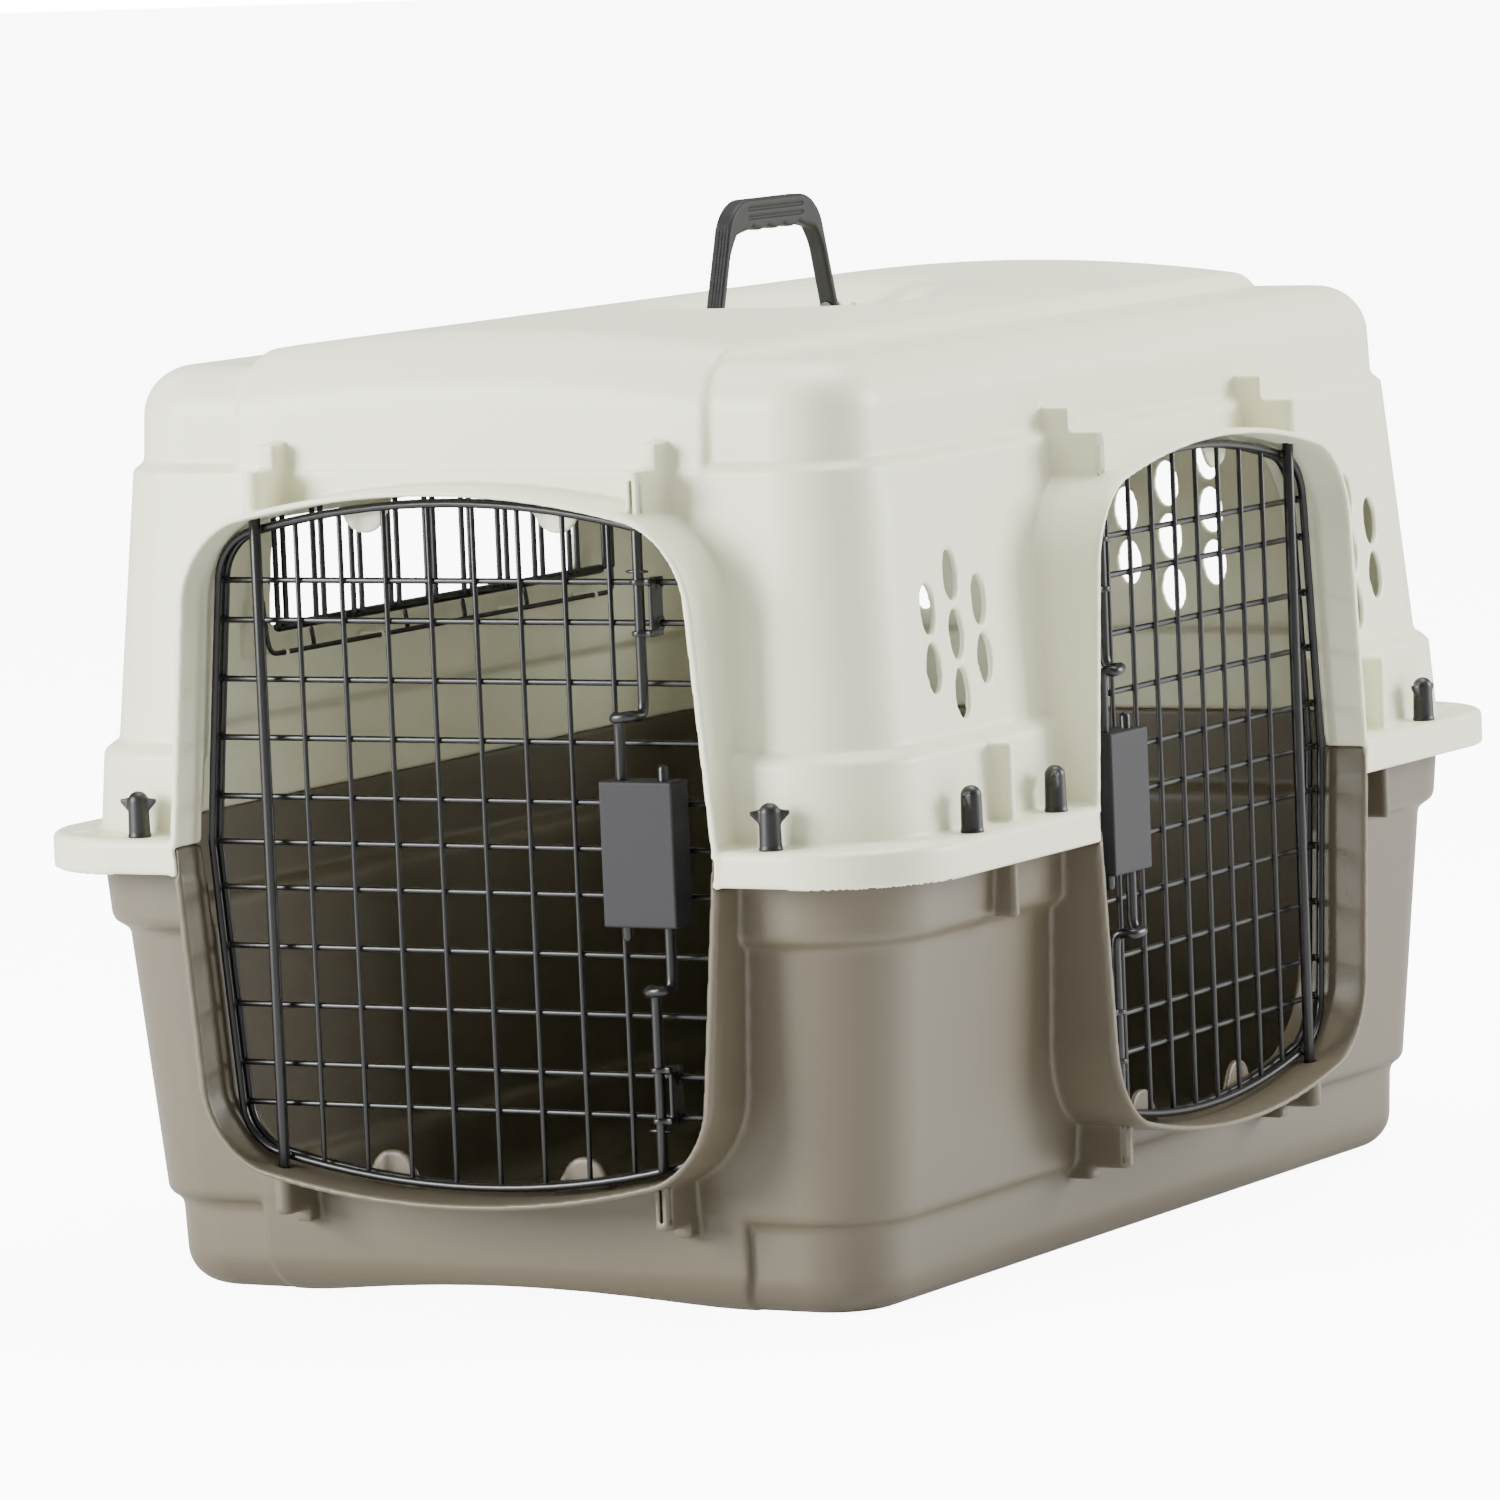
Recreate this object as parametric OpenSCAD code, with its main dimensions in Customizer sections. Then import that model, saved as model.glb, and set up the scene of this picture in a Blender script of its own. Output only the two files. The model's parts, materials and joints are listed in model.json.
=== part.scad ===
// Two-door plastic pet carrier: two moulded shells bolted at a flange, wire doors on the short
// front end (-Y) and on one long side (+X), a wire-guarded window on the other long side (-X),
// oval vents, and a folding handle in a recess of the roof. Millimetres, floor at z = 0.

/* [Shell] */
// Half width of the flange, along X
flange_hx = 250; // [235:1:270]
// Half length of the flange, along Y
flange_hy = 350; // [335:1:370]
// Corner radius of the flange
flange_r = 62; // [45:1:75]
// Height of the face where the two shells meet
part_z = 226; // [220:1:232]
// Thickness of each flange plate
plate_t = 4; // [3:0.5:5]
// Depth of the skirt that hangs from the upper flange
skirt_h = 14; // [8:1:16]
// Wall thickness of both shells
wall_t = 3; // [2.5:0.1:3.5]
// Height of the roof at its sides
roof_z = 457; // [450:1:465]

/* [Doors] */
// Height of the middle of both doors
door_z = 227; // [222:1:232]
// Y position of the middle of the side door
side_door_y = 9; // [-15:1:15]
// Distance of the hinge rod and the latch rods from the door's middle line
rod_u = 107; // [104:0.5:110]
// Depth of the rods behind the front of the door surround
rod_v = 17; // [15:0.5:19]
// Diameter of the hinge rod
hinge_rod_d = 5.6; // [5:0.1:6.5]
// Diameter of the latch rods
latch_rod_d = 5.2; // [4.5:0.1:6]
// Diameter of the door's level wires
cross_wire_d = 3; // [2.5:0.1:3.4]
// Diameter of the door's upright wires
upright_wire_d = 2.6; // [2:0.1:3]
// Spacing of the upright wires
upright_pitch = 25; // [22:0.5:25]

/* [Latch] */
// Width of the latch housing
latch_w = 40; // [36:1:42]
// Height of the latch housing
latch_h = 70; // [60:1:80]
// Depth of the latch housing
latch_d = 16.5; // [15:0.5:17]
// Sideways jog of each latch rod at its crank
crank_u = 11.5; // [9:0.5:12]

/* [Handle] */
// Height of the handle's pivot
pivot_z = 461; // [458:1:464]
// Distance of each handle leg from the middle, at the pivot
leg_y = 61; // [55:1:65]
// Height of the grip above the pivot
handle_h = 55; // [50:1:62]

/* [Hidden] */
$fn = 48;

CREAM = [0.91, 0.91, 0.86];
TAUPE = [0.59, 0.56, 0.50];
BLACK_WIRE = [0.09, 0.09, 0.10];
LATCH_GREY = [0.44, 0.44, 0.47];
HANDLE_GREY = [0.29, 0.29, 0.31];
STEEL = [0.62, 0.62, 0.60];

corner_segs = 7;
far = 400;
over_z = 500;
top_z = part_z + plate_t;
skirt_z = part_z - skirt_h;
skirt_t = 3;

// Wall profiles: [inset from the flange edge, height, corner radius]
upper_profile = [
    [20, top_z - 2, 52], [22.3, 266, 52], [24.2, 270.5, 51], [29.3, 273.5, 47],
    [40.3, 405.5, 42], [41.6, 408.5, 41], [44.7, 410.5, 40], [45.7, 433, 40],
    [47.5, 442.2, 38], [52.7, 450, 33], [60.5, 455.2, 26], [69.7, roof_z, 18]
];
lower_profile = [
    [20.6, part_z - 2, 52], [22.5, 188, 52], [24.5, 184, 51], [29.7, 181, 47],
    [40.9, 48.5, 42], [42.5, 45.5, 41], [46.2, 44, 40], [47, 18, 40],
    [48.6, 11, 38], [52.8, 5, 34], [58.4, 1.3, 28], [65, 0, 22]
];

// The raised middle panel that runs up the front, over the roof and down the back
panel_hx = 132;
panel_inset = 41;
panel_r = 34;
crown_z = 473;
crown_r = 985;
// The middle panel of the base, whose underside is arched along its whole length
foot_panel_hx = 137;
foot_panel_r = 20;
arch_rise = 8;
arch_half = 112;
arch_r = (arch_half * arch_half + arch_rise * arch_rise) / (2 * arch_rise);

// Door surround, measured from the middle of the door; rim_bend_z is where its sides meet the arch
rim_half_w = 154;
rim_side_w = 142.5;
rim_peak = 174;
rim_arch_r = 464;
rim_corner_r = 32;
// The rounded corner's centre, tangent to the sloping side and to the arch
rim_bend_z = 135;
rim_side_len = norm([rim_bend_z, rim_half_w - rim_side_w]);
rim_nx = rim_bend_z / rim_side_len;
rim_nz = (rim_half_w - rim_side_w) / rim_side_len;
rim_side_a = atan2(rim_nz, rim_nx);
rim_d = rim_half_w * rim_nx - rim_corner_r;
rim_h = rim_arch_r - rim_peak;
rim_qa = rim_nz * rim_nz / (rim_nx * rim_nx) + 1;
rim_qb = 2 * rim_h - 2 * rim_d * rim_nz / (rim_nx * rim_nx);
rim_qc = pow(rim_d / rim_nx, 2) + rim_h * rim_h - pow(rim_arch_r - rim_corner_r, 2);
rim_cz = (-rim_qb + sqrt(rim_qb * rim_qb - 4 * rim_qa * rim_qc)) / (2 * rim_qa);
rim_cx = (rim_d - rim_nz * rim_cz) / rim_nx;
rim_arch_a = atan2(rim_cz + rim_h, rim_cx);
// Thickness of the surround at its sides and at most along its arches
rim_t = 4.4;
rim_arch_t = 3;
// Where the upper shell laps over the lower one
lap_t = 2.5;
lap_gap = 0.3;
tunnel_depth = 50;

// Planes of the door's wires, measured back from the front of the surround
wire_v = rod_v + 8.8;
loop_r = 2;
front_loop_v = wire_v - 3.4;
back_loop_v = wire_v + 3.4;
upright_v = wire_v - 2.2;
hinge_v = rod_v + 0.7;
level_heights = [128.3, 108.8, 79.9, 51.2, 22.3, 0, -22.3, -51.2, -79.9, -108.8, -128.3];
frame_mid_w = 143;
frame_end_half = 132.2;
frame_end_z = 128;
frame_bend_z = 4;
frame_arch_r = 470;
frame_corner_r = 26;

// Rod sockets in the shells
socket_d = 9.5;
socket_top = 182;
socket_floor = 178;
socket_root = 150;
gusset_t = 9.2;
gusset_v = 30;
hinge_rod_half = 176;
latch_tip = 155.2;
running_gap = 0.08;
crank_z = 66;

// Latch housing
latch_v = 5;
latch_wall = 2;
latch_rod_v = 13;
stub_len = 8;
web_t = 1.6;
hook_zs = [-22.3, 0, 22.3];
// Rod guides: their rings, the door wires they grip, and the height of the latch rod's ear
guide_rings = [129, 104.5];
guide_wires = [128.3, 108.8];
ear_z = 134;

// Door stops: half spacing, height of the tab's centre, its radius and thickness, gap to the door
stop_u = 54;
stop_z = 163;
stop_r = 12.5;
stop_t = 3;
stop_gap = 0.6;

// Oval vents: half length of a cutter, half sizes, spacings, and the middles of the clusters
vent_reach = 60;
vent_rx = 6.5;
vent_rz = 12;
vent_step_z = 28.5;
vent_step_x = 26;
back_vent_step = 25.5;
back_vent_columns = 8;
vent_y = 220;
vent_z = door_z + 94;

// Ribs beside the side door: middles along Y, thickness, reach from the edge of the flange
rib_ys = [-212, 205];
rib_t = 5;
rib_in = 26;
rib_out = 11;

// Flange bolts: [x, y]
nut_xy = [
    [-177, -340], [177, -340], [240, -256], [240, -169], [240, 251],
    [177, 340], [-177, 340], [-240, 251], [-240, 92], [-240, -92], [-240, -256]
];
// Way that each wing nut has been left pointing
nut_turns = [8, 30, 95, 115, 80, 37, 140, 100, 15, 60, 120];
nut_d = 10.4;
nut_h = 17.4;
nut_wing = [[0, 2.4], [1.8, 2.6], [6.2, 6.8], [6.2, 8.4], [2, 9.6], [0, 9.8]];
nut_wing_t = 2.6;

bolt_d = 5;
bolt_hole_d = 5.6;
tie_hole_d = 8;
tie_x = flange_hx - 26;
tie_y = flange_hy - 26;

// Window in the -X wall
window_y0 = -153;
window_y1 = 153;
window_z0 = 316;
window_z1 = 370;
window_r = 4;
grille_x = -flange_hx + 48;
guard_wire_d = 3;
guard_pairs = 9;
guard_top = window_z1 + 12;
guard_low = window_z0 - 13;
clip_ys = [-162, -69, 70, 150];
clip_w = 5;

// Roof recess for the handle
recess_floor = 455.5;
recess_hy = 115;
recess_hx = 88;
handle_t = 9.5;
leg_t = 5;
pin_d = 4;

// ---------- shared shapes ----------

// Points on an arc in a plane
function arc(cx, cz, r, a0, a1, n) = [
    for (i = [0:n]) let (a = a0 + (a1 - a0) * i / n) [cx + r * cos(a), cz + r * sin(a)]
];

// Corner points of a rounded rectangle, anticlockwise
function ring(hx, hy, r, z) = [
    for (q = [[1, -1, -90], [1, 1, 0], [-1, 1, 90], [-1, -1, 180]])
        for (i = [0:corner_segs])
            let (a = q[2] + 90 * i / corner_segs)
                [q[0] * (hx - r) + r * cos(a), q[1] * (hy - r) + r * sin(a), z]
];

// Closed solid through a stack of rings with the same number of points
module loft(rings) {
    n = len(rings[0]);
    m = len(rings);
    points = [for (r = rings) for (p = r) p];
    sides = [
        for (j = [0:m - 2]) for (i = [0:n - 1])
            [j * n + i, (j + 1) * n + i, (j + 1) * n + (i + 1) % n, j * n + (i + 1) % n]
    ];
    low_cap = [[for (i = [0:n - 1]) i]];
    high_cap = [[for (i = [n - 1:-1:0]) (m - 1) * n + i]];
    polyhedron(points, concat(sides, low_cap, high_cap), convexity = 6);
}

function profile_ring(row, grow, dz) = ring(
    flange_hx - row[0] - grow, flange_hy - row[0] - grow, max(row[2] - grow, 6), row[1] + dz
);

// Upper body: tiers, then the roof; grow is the inset that turns it into its own cavity
module upper_mass(grow = 0) {
    rows = upper_profile;
    last = len(rows) - 1;
    base = [[rows[0][0], rows[0][1] - (grow > 0 ? 20 : 0), rows[0][2]]];
    stack = concat(base, [for (i = [1:last]) rows[i]]);
    loft([for (row = stack) profile_ring(row, grow, row[1] > 400 ? -grow : 0)]);
    roof_panel(grow);
}

// Side outline of the raised panel: front face, rounded roof edge, and the same at the back
function panel_outline(front, low_z, high_z, r) = concat(
    [[-front + 1.5, low_z]],
    [for (i = [0:6]) let (a = 180 - 15 * i) [-front + 2 + r + r * cos(a), high_z - r + r * sin(a)]],
    [for (i = [0:6]) let (a = 90 - 15 * i) [front - 2 - r + r * cos(a), high_z - r + r * sin(a)]],
    [[front - 1.5, low_z]]
);

module roof_panel(grow) {
    intersection() {
        translate([-panel_hx + grow, 0, 0])
            rotate([90, 0, 90])
                linear_extrude(2 * (panel_hx - grow))
                    polygon(panel_outline(
                        flange_hy - panel_inset - grow, 395, crown_z - grow, panel_r - grow
                    ));
        translate([0, flange_hy, crown_z - grow - crown_r])
            rotate([90, 0, 0])
                cylinder(r = crown_r, h = 2 * flange_hy, $fn = 360);
    }
}

module lower_mass(grow = 0) {
    rows = lower_profile;
    last = len(rows) - 1;
    base = [[rows[0][0], rows[0][1] + (grow > 0 ? 20 : 0), rows[0][2]]];
    stack = concat(base, [for (i = [1:last]) rows[i]]);
    loft([for (i = [last:-1:0]) profile_ring(stack[i], grow, stack[i][1] < 50 ? grow : 0)]);
    foot_panel(grow);
}

module foot_panel(grow) {
    front = flange_hy - panel_inset - grow - 1;
    r = foot_panel_r - grow;
    translate([-foot_panel_hx + grow, 0, 0])
        rotate([90, 0, 90])
            linear_extrude(2 * (foot_panel_hx - grow))
                polygon(concat(
                    [[-front + 1.5, 60]],
                    [for (i = [0:5]) let (a = 180 + 18 * i)
                        [-front + 2 + r + r * cos(a), grow + r + r * sin(a)]],
                    [for (i = [0:5]) let (a = 270 + 18 * i)
                        [front - 2 - r + r * cos(a), grow + r + r * sin(a)]],
                    [[front - 1.5, 60]]
                ));
}

// Long low arch under the base; grow > 0 is the matching rise of the cabin floor
module base_arch(grow = 0) {
    translate([0, flange_hy, arch_rise - arch_r])
        rotate([90, 0, 0])
            cylinder(r = arch_r + grow, h = 2 * flange_hy, $fn = 360);
}

module flange_outline(inset = 0) {
    polygon([for (p = ring(flange_hx - inset, flange_hy - inset, flange_r - inset, 0)) [p[0], p[1]]]);
}

// Door positions. In a door's own frame X runs along the wall, Y goes into the cabin and Z is up,
// with the origin on the front of the surround. The side door is the front door turned end for end.
module at_front_wall() {
    translate([0, -flange_hy, door_z])
        children();
}

module at_side_wall() {
    translate([flange_hx, side_door_y, door_z])
        rotate([0, 0, 90])
            children();
}

module at_side_door() {
    at_side_wall()
        rotate([0, 180, 0])
            children();
}

module both_walls() {
    at_front_wall()
        children();
    at_side_wall()
        children();
}

// One quarter of the surround's outline: side, rounded corner, then the arch up to the middle
function rim_quarter(inset) = concat(
    [[rim_half_w - inset / rim_nx, 0]],
    arc(rim_cx, rim_cz, rim_corner_r - inset, rim_side_a, rim_arch_a, 6),
    arc(0, rim_peak - rim_arch_r, rim_arch_r - min(inset, rim_arch_t), rim_arch_a + 3, 90, 5)
);

// Outline of the door surround in the plane of the wall
module rim_outline(inset = 0) {
    q = rim_quarter(inset);
    n = len(q);
    polygon(concat(
        q,
        [for (i = [n - 2:-1:0]) [-q[i][0], q[i][1]]],
        [for (i = [1:n - 1]) [-q[i][0], -q[i][1]]],
        [for (i = [n - 2:-1:1]) [q[i][0], -q[i][1]]]
    ));
}

// A prism of the door surround from depth v0 to depth v1
module rim_prism(inset, v0, v1) {
    translate([0, v1, 0])
        rotate([90, 0, 0])
            linear_extrude(v1 - v0)
                rim_outline(inset);
}

// Everything between two heights
module slab(z0, z1) {
    translate([-far, -far, z0])
        cube([2 * far, 2 * far, z1 - z0]);
}

// Socket column and stepped gusset above (side = 1) or below (side = -1) one rod
module rod_socket(u, side) {
    column = socket_top - socket_root;
    low = side > 0 ? socket_root : -socket_top;
    translate([u, rod_v, low])
        cylinder(d = socket_d, h = column);
    translate([u - gusset_t / 2, rod_v, low])
        cube([gusset_t, tunnel_depth - rod_v, column]);
    translate([u - gusset_t / 2, gusset_v, side > 0 ? socket_top - 4 : -socket_top - 8])
        cube([gusset_t, 16, side > 0 ? 16 : 12]);
}

module socket_bore(u, v, d) {
    translate([u, v, -socket_floor])
        cylinder(d = d, h = 2 * socket_floor);
}

// hinge is -1 or 1: the side of the wall that holds the hinge rod
module socket_bores(hinge) {
    socket_bore(hinge * rod_u, hinge_v, hinge_rod_d + 2 * running_gap);
    socket_bore(-hinge * rod_u, rod_v, latch_rod_d + 2 * running_gap);
}

// Stop behind the door: a ramp on the surround with a half-round tab in front of the cabin
module door_stop(u, side) {
    ramp = [[-20, 178], [20, 178], [13, 160], [-13, 160]];
    translate([u, back_loop_v + loop_r + stop_gap + stop_t, 0])
        rotate([90, 0, 0])
            linear_extrude(stop_t)
                intersection() {
                    union() {
                        translate([0, side * stop_z])
                            circle(r = stop_r);
                        polygon([for (p = ramp) [p[0], side * p[1]]]);
                    }
                    rim_outline(rim_arch_t - 1);
                }
}

// One oval vent, cut along the local Y axis
module vent(x, z) {
    translate([x, vent_reach, z])
        rotate([90, 0, 0])
            linear_extrude(2 * vent_reach)
                polygon([for (i = [0:15]) [vent_rx * cos(22.5 * i), vent_rz * sin(22.5 * i)]]);
}

// Seven vents: three columns with the outer two half a step down and up
module vent_cluster() {
    for (k = [-1:1])
        vent(0, k * vent_step_z);
    for (s = [-1, 1], k = [-0.5, 0.5])
        vent(s * vent_step_x, k * vent_step_z);
}

// Three rows of vents, every other column half a step higher
module back_vents() {
    for (c = [0:back_vent_columns - 1], k = [-1:1])
        vent((c - (back_vent_columns - 1) / 2) * back_vent_step, (k + (c % 2) / 2) * vent_step_z);
}

module bolt_holes(z0, z1) {
    for (p = nut_xy)
        translate([p[0], p[1], z0])
            cylinder(d = bolt_hole_d, h = z1 - z0);
    for (sx = [-1, 1], sy = [-1, 1])
        translate([sx * tie_x, sy * tie_y, z0])
            cylinder(d = tie_hole_d, h = z1 - z0);
}

// Upright ribs between a long wall and the flange, beside the door
module wall_ribs(z0, z1) {
    for (y = rib_ys, sx = [-1, 1])
        translate([sx > 0 ? flange_hx - rib_in : -flange_hx + rib_out, y - rib_t / 2, z0])
            cube([rib_in - rib_out, rib_t, z1 - z0]);
}

// Dish in the roof; grow thickens it into the matching bump inside the cabin
module roof_dish(grow = 0) {
    rows = [[0.72, 0.46, recess_floor], [0.80, 0.58, recess_floor + 1.5],
            [0.90, 0.78, recess_floor + 8], [0.97, 0.93, recess_floor + 14.5],
            [1.04, 1.06, recess_floor + 19], [1.12, 1.2, recess_floor + 24]];
    loft([for (row = rows) [
        for (i = [0:35])
            let (a = 10 * i, c = cos(a), s = sin(a))
                [
                    (recess_hx * row[1] + grow) * sign(c) * pow(abs(c), 0.9),
                    (recess_hy * row[0] + grow) * sign(s) * pow(abs(s), 0.9),
                    row[2] - grow
                ]
    ]]);
}

// ---------- shells ----------

module upper_shell() color(CREAM) {
    difference() {
        union() {
            difference() {
                union() {
                    upper_mass();
                    translate([0, 0, part_z])
                        linear_extrude(plate_t)
                            flange_outline();
                    translate([0, 0, skirt_z])
                        linear_extrude(skirt_h + 1)
                            difference() {
                                flange_outline();
                                flange_outline(skirt_t);
                            }
                    wall_ribs(part_z + 1, door_z + 41);
                    intersection() {
                        both_walls()
                            rim_prism(0, 0, tunnel_depth);
                        slab(skirt_z, over_z);
                    }
                    intersection() {
                        both_walls()
                            for (u = [-rod_u, rod_u])
                                rod_socket(u, 1);
                        slab(300, over_z);
                    }
                }
                difference() {
                    upper_mass(wall_t);
                    roof_dish(wall_t);
                }
                roof_dish();
                slab(0, skirt_z);
                // room for the lower flange, its wall and the lower part of the surround
                intersection() {
                    union() {
                        translate([0, 0, skirt_z - 1])
                            linear_extrude(part_z - skirt_z + 1)
                                flange_outline(skirt_t);
                        both_walls()
                            rim_prism(lap_t, -1, tunnel_depth + 10);
                    }
                    slab(skirt_z - 1, part_z);
                }
                both_walls()
                    rim_prism(rim_t, -1, tunnel_depth + 10);
            }
            both_walls()
                for (u = [-stop_u, stop_u])
                    door_stop(u, 1);
            handle_lugs();
        }
        at_front_wall()
            socket_bores(-1);
        at_side_wall()
            socket_bores(1);
        for (s = [-1, 1])
            translate([flange_hx, s * vent_y, vent_z])
                rotate([0, 0, 90])
                    vent_cluster();
        translate([0, flange_hy, vent_z])
            back_vents();
        translate([-flange_hx - 1, 0, 0])
            rotate([90, 0, 90])
                linear_extrude(60)
                    window_outline();
        bolt_holes(part_z - 1, top_z + 1);
        translate([0, leg_y + 40, pivot_z])
            rotate([90, 0, 0])
                cylinder(d = pin_d + 0.2, h = 2 * leg_y + 80);
    }
}

module window_outline() {
    translate([(window_y0 + window_y1) / 2, (window_z0 + window_z1) / 2])
        polygon([
            for (p = ring((window_y1 - window_y0) / 2, (window_z1 - window_z0) / 2, window_r, 0))
                [p[0], p[1]]
        ]);
}

module handle_lugs() {
    for (s = [-1, 1])
        translate([0, s * (leg_y + leg_t / 2 + 2.8), 0]) {
            translate([-5, -2, recess_floor - 1])
                cube([10, 4, pivot_z - recess_floor + 1]);
            translate([0, 2, pivot_z])
                rotate([90, 0, 0])
                    cylinder(d = 10, h = 4);
        }
}

module lower_shell() color(TAUPE) {
    difference() {
        union() {
            difference() {
                union() {
                    lower_mass();
                    translate([0, 0, part_z - plate_t])
                        linear_extrude(plate_t)
                            flange_outline(skirt_t + 0.6);
                    wall_ribs(door_z - 40, part_z - 1);
                    intersection() {
                        both_walls()
                            rim_prism(0, 0, tunnel_depth);
                        slab(0, skirt_z - 0.4);
                    }
                    intersection() {
                        both_walls()
                            rim_prism(lap_t + lap_gap, 0, tunnel_depth);
                        slab(skirt_z - 1, part_z);
                    }
                    intersection() {
                        both_walls()
                            for (u = [-rod_u, rod_u])
                                rod_socket(u, -1);
                        slab(0, 150);
                    }
                }
                difference() {
                    lower_mass(wall_t);
                    base_arch(wall_t);
                }
                base_arch();
                slab(part_z, over_z);
                both_walls()
                    rim_prism(rim_t, -1, tunnel_depth + 10);
            }
            both_walls()
                for (u = [-stop_u, stop_u])
                    door_stop(u, -1);
        }
        at_front_wall()
            socket_bores(-1);
        at_side_wall()
            socket_bores(1);
        bolt_holes(part_z - plate_t - 1, part_z + 1);
    }
}

// ---------- doors ----------

frame_corner_x = frame_end_half - frame_corner_r;
frame_corner_z = frame_end_z - 1;
frame_arch_a = asin(frame_corner_x / (frame_arch_r - frame_corner_r));
frame_arch_cz = frame_corner_z - (frame_arch_r - frame_corner_r) * cos(frame_arch_a);

// Centre line of the outer wire loop: arched top and bottom, sides bent at mid height
function frame_quarter(sx, sz) = [
    for (p = concat(
        [[frame_mid_w, frame_bend_z]],
        arc(frame_corner_x, frame_corner_z, frame_corner_r, 4, 90 - frame_arch_a, 5),
        arc(0, frame_arch_cz, frame_arch_r, 90 - frame_arch_a + 3.5, 86.5, 3)
    )) [sx * p[0], sz * p[1]]
];

function reversed(list) = [for (i = [len(list) - 1:-1:0]) list[i]];

frame_path = concat(
    frame_quarter(1, 1), reversed(frame_quarter(-1, 1)),
    frame_quarter(-1, -1), reversed(frame_quarter(1, -1))
);

// Round bar along a closed path in the XZ plane
module wire_loop(path, v, r, sides = 8) {
    n = len(path);
    rings = [
        for (i = [0:n - 1])
            let (
                p = path[i], a = path[(i + n - 1) % n], b = path[(i + 1) % n],
                d1 = (p - a) / norm(p - a), d2 = (b - p) / norm(b - p),
                t = (d1 + d2) / norm(d1 + d2), w = [t[1], -t[0]],
                k = 1 / sqrt((1 + d1 * d2) / 2)
            )
                [for (s = [0:sides - 1]) let (q = 360 * s / sides)
                    [p[0] + w[0] * r * k * cos(q), v + r * sin(q), p[1] + w[1] * r * k * cos(q)]]
    ];
    points = [for (ring = rings) for (p = ring) p];
    faces = [
        for (i = [0:n - 1]) for (s = [0:sides - 1])
            let (j = (i + 1) % n, t = (s + 1) % sides)
                [i * sides + s, i * sides + t, j * sides + t, j * sides + s]
    ];
    polyhedron(points, faces, convexity = 4);
}

module door_frame() color(BLACK_WIRE) {
    wire_loop(frame_path, front_loop_v, loop_r);
    wire_loop(frame_path, back_loop_v, loop_r);
}

// Half width of the frame at height z
function frame_half(z) = frame_mid_w
    - (frame_mid_w - frame_end_half) * max(abs(z) - frame_bend_z, 0) / (frame_end_z - frame_bend_z);

module door_level_wires() color(BLACK_WIRE) {
    for (z = level_heights) {
        half = frame_half(z) + 4;
        translate([-half, wire_v, z])
            rotate([0, 90, 0])
                cylinder(d = cross_wire_d, h = 2 * half);
    }
}

module door_upright_wires() color(BLACK_WIRE) {
    for (k = [-3.5:1:3.5]) {
        u = k * upright_pitch;
        half = frame_arch_cz + sqrt(frame_arch_r * frame_arch_r - u * u);
        translate([u, upright_v, -half])
            cylinder(d = upright_wire_d, h = 2 * half);
    }
}

module hinge_rod() color(BLACK_WIRE) {
    translate([-rod_u, hinge_v, -hinge_rod_half])
        cylinder(d = hinge_rod_d, h = 2 * hinge_rod_half);
}

// Round bar along an open path of 3-D points; across is a direction that the path never takes
module bar(path, r, across, sides = 10) {
    n = len(path);
    rings = [
        for (i = [0:n - 1])
            let (
                a = path[max(i - 1, 0)], b = path[min(i + 1, n - 1)],
                t = (b - a) / norm(b - a),
                side = cross(t, across), e1 = side / norm(side), e2 = cross(e1, t)
            )
                [for (s = [0:sides - 1]) let (q = 360 * s / sides)
                    path[i] + r * (e1 * cos(q) + e2 * sin(q))]
    ];
    points = [for (ring = rings) for (p = ring) p];
    faces = concat(
        [for (i = [0:n - 2]) for (s = [0:sides - 1])
            let (t = (s + 1) % sides)
                [i * sides + s, i * sides + t, (i + 1) * sides + t, (i + 1) * sides + s]],
        [[for (s = [sides - 1:-1:0]) s]],
        [[for (s = [0:sides - 1]) (n - 1) * sides + s]]
    );
    polyhedron(points, faces, convexity = 4);
}

// Points of a smooth curve through four control points
function bezier(a, b, c, d, n) = [
    for (i = [0:n]) let (t = i / n, s = 1 - t)
        s * s * s * a + 3 * s * s * t * b + 3 * s * t * t * c + t * t * t * d
];

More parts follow.
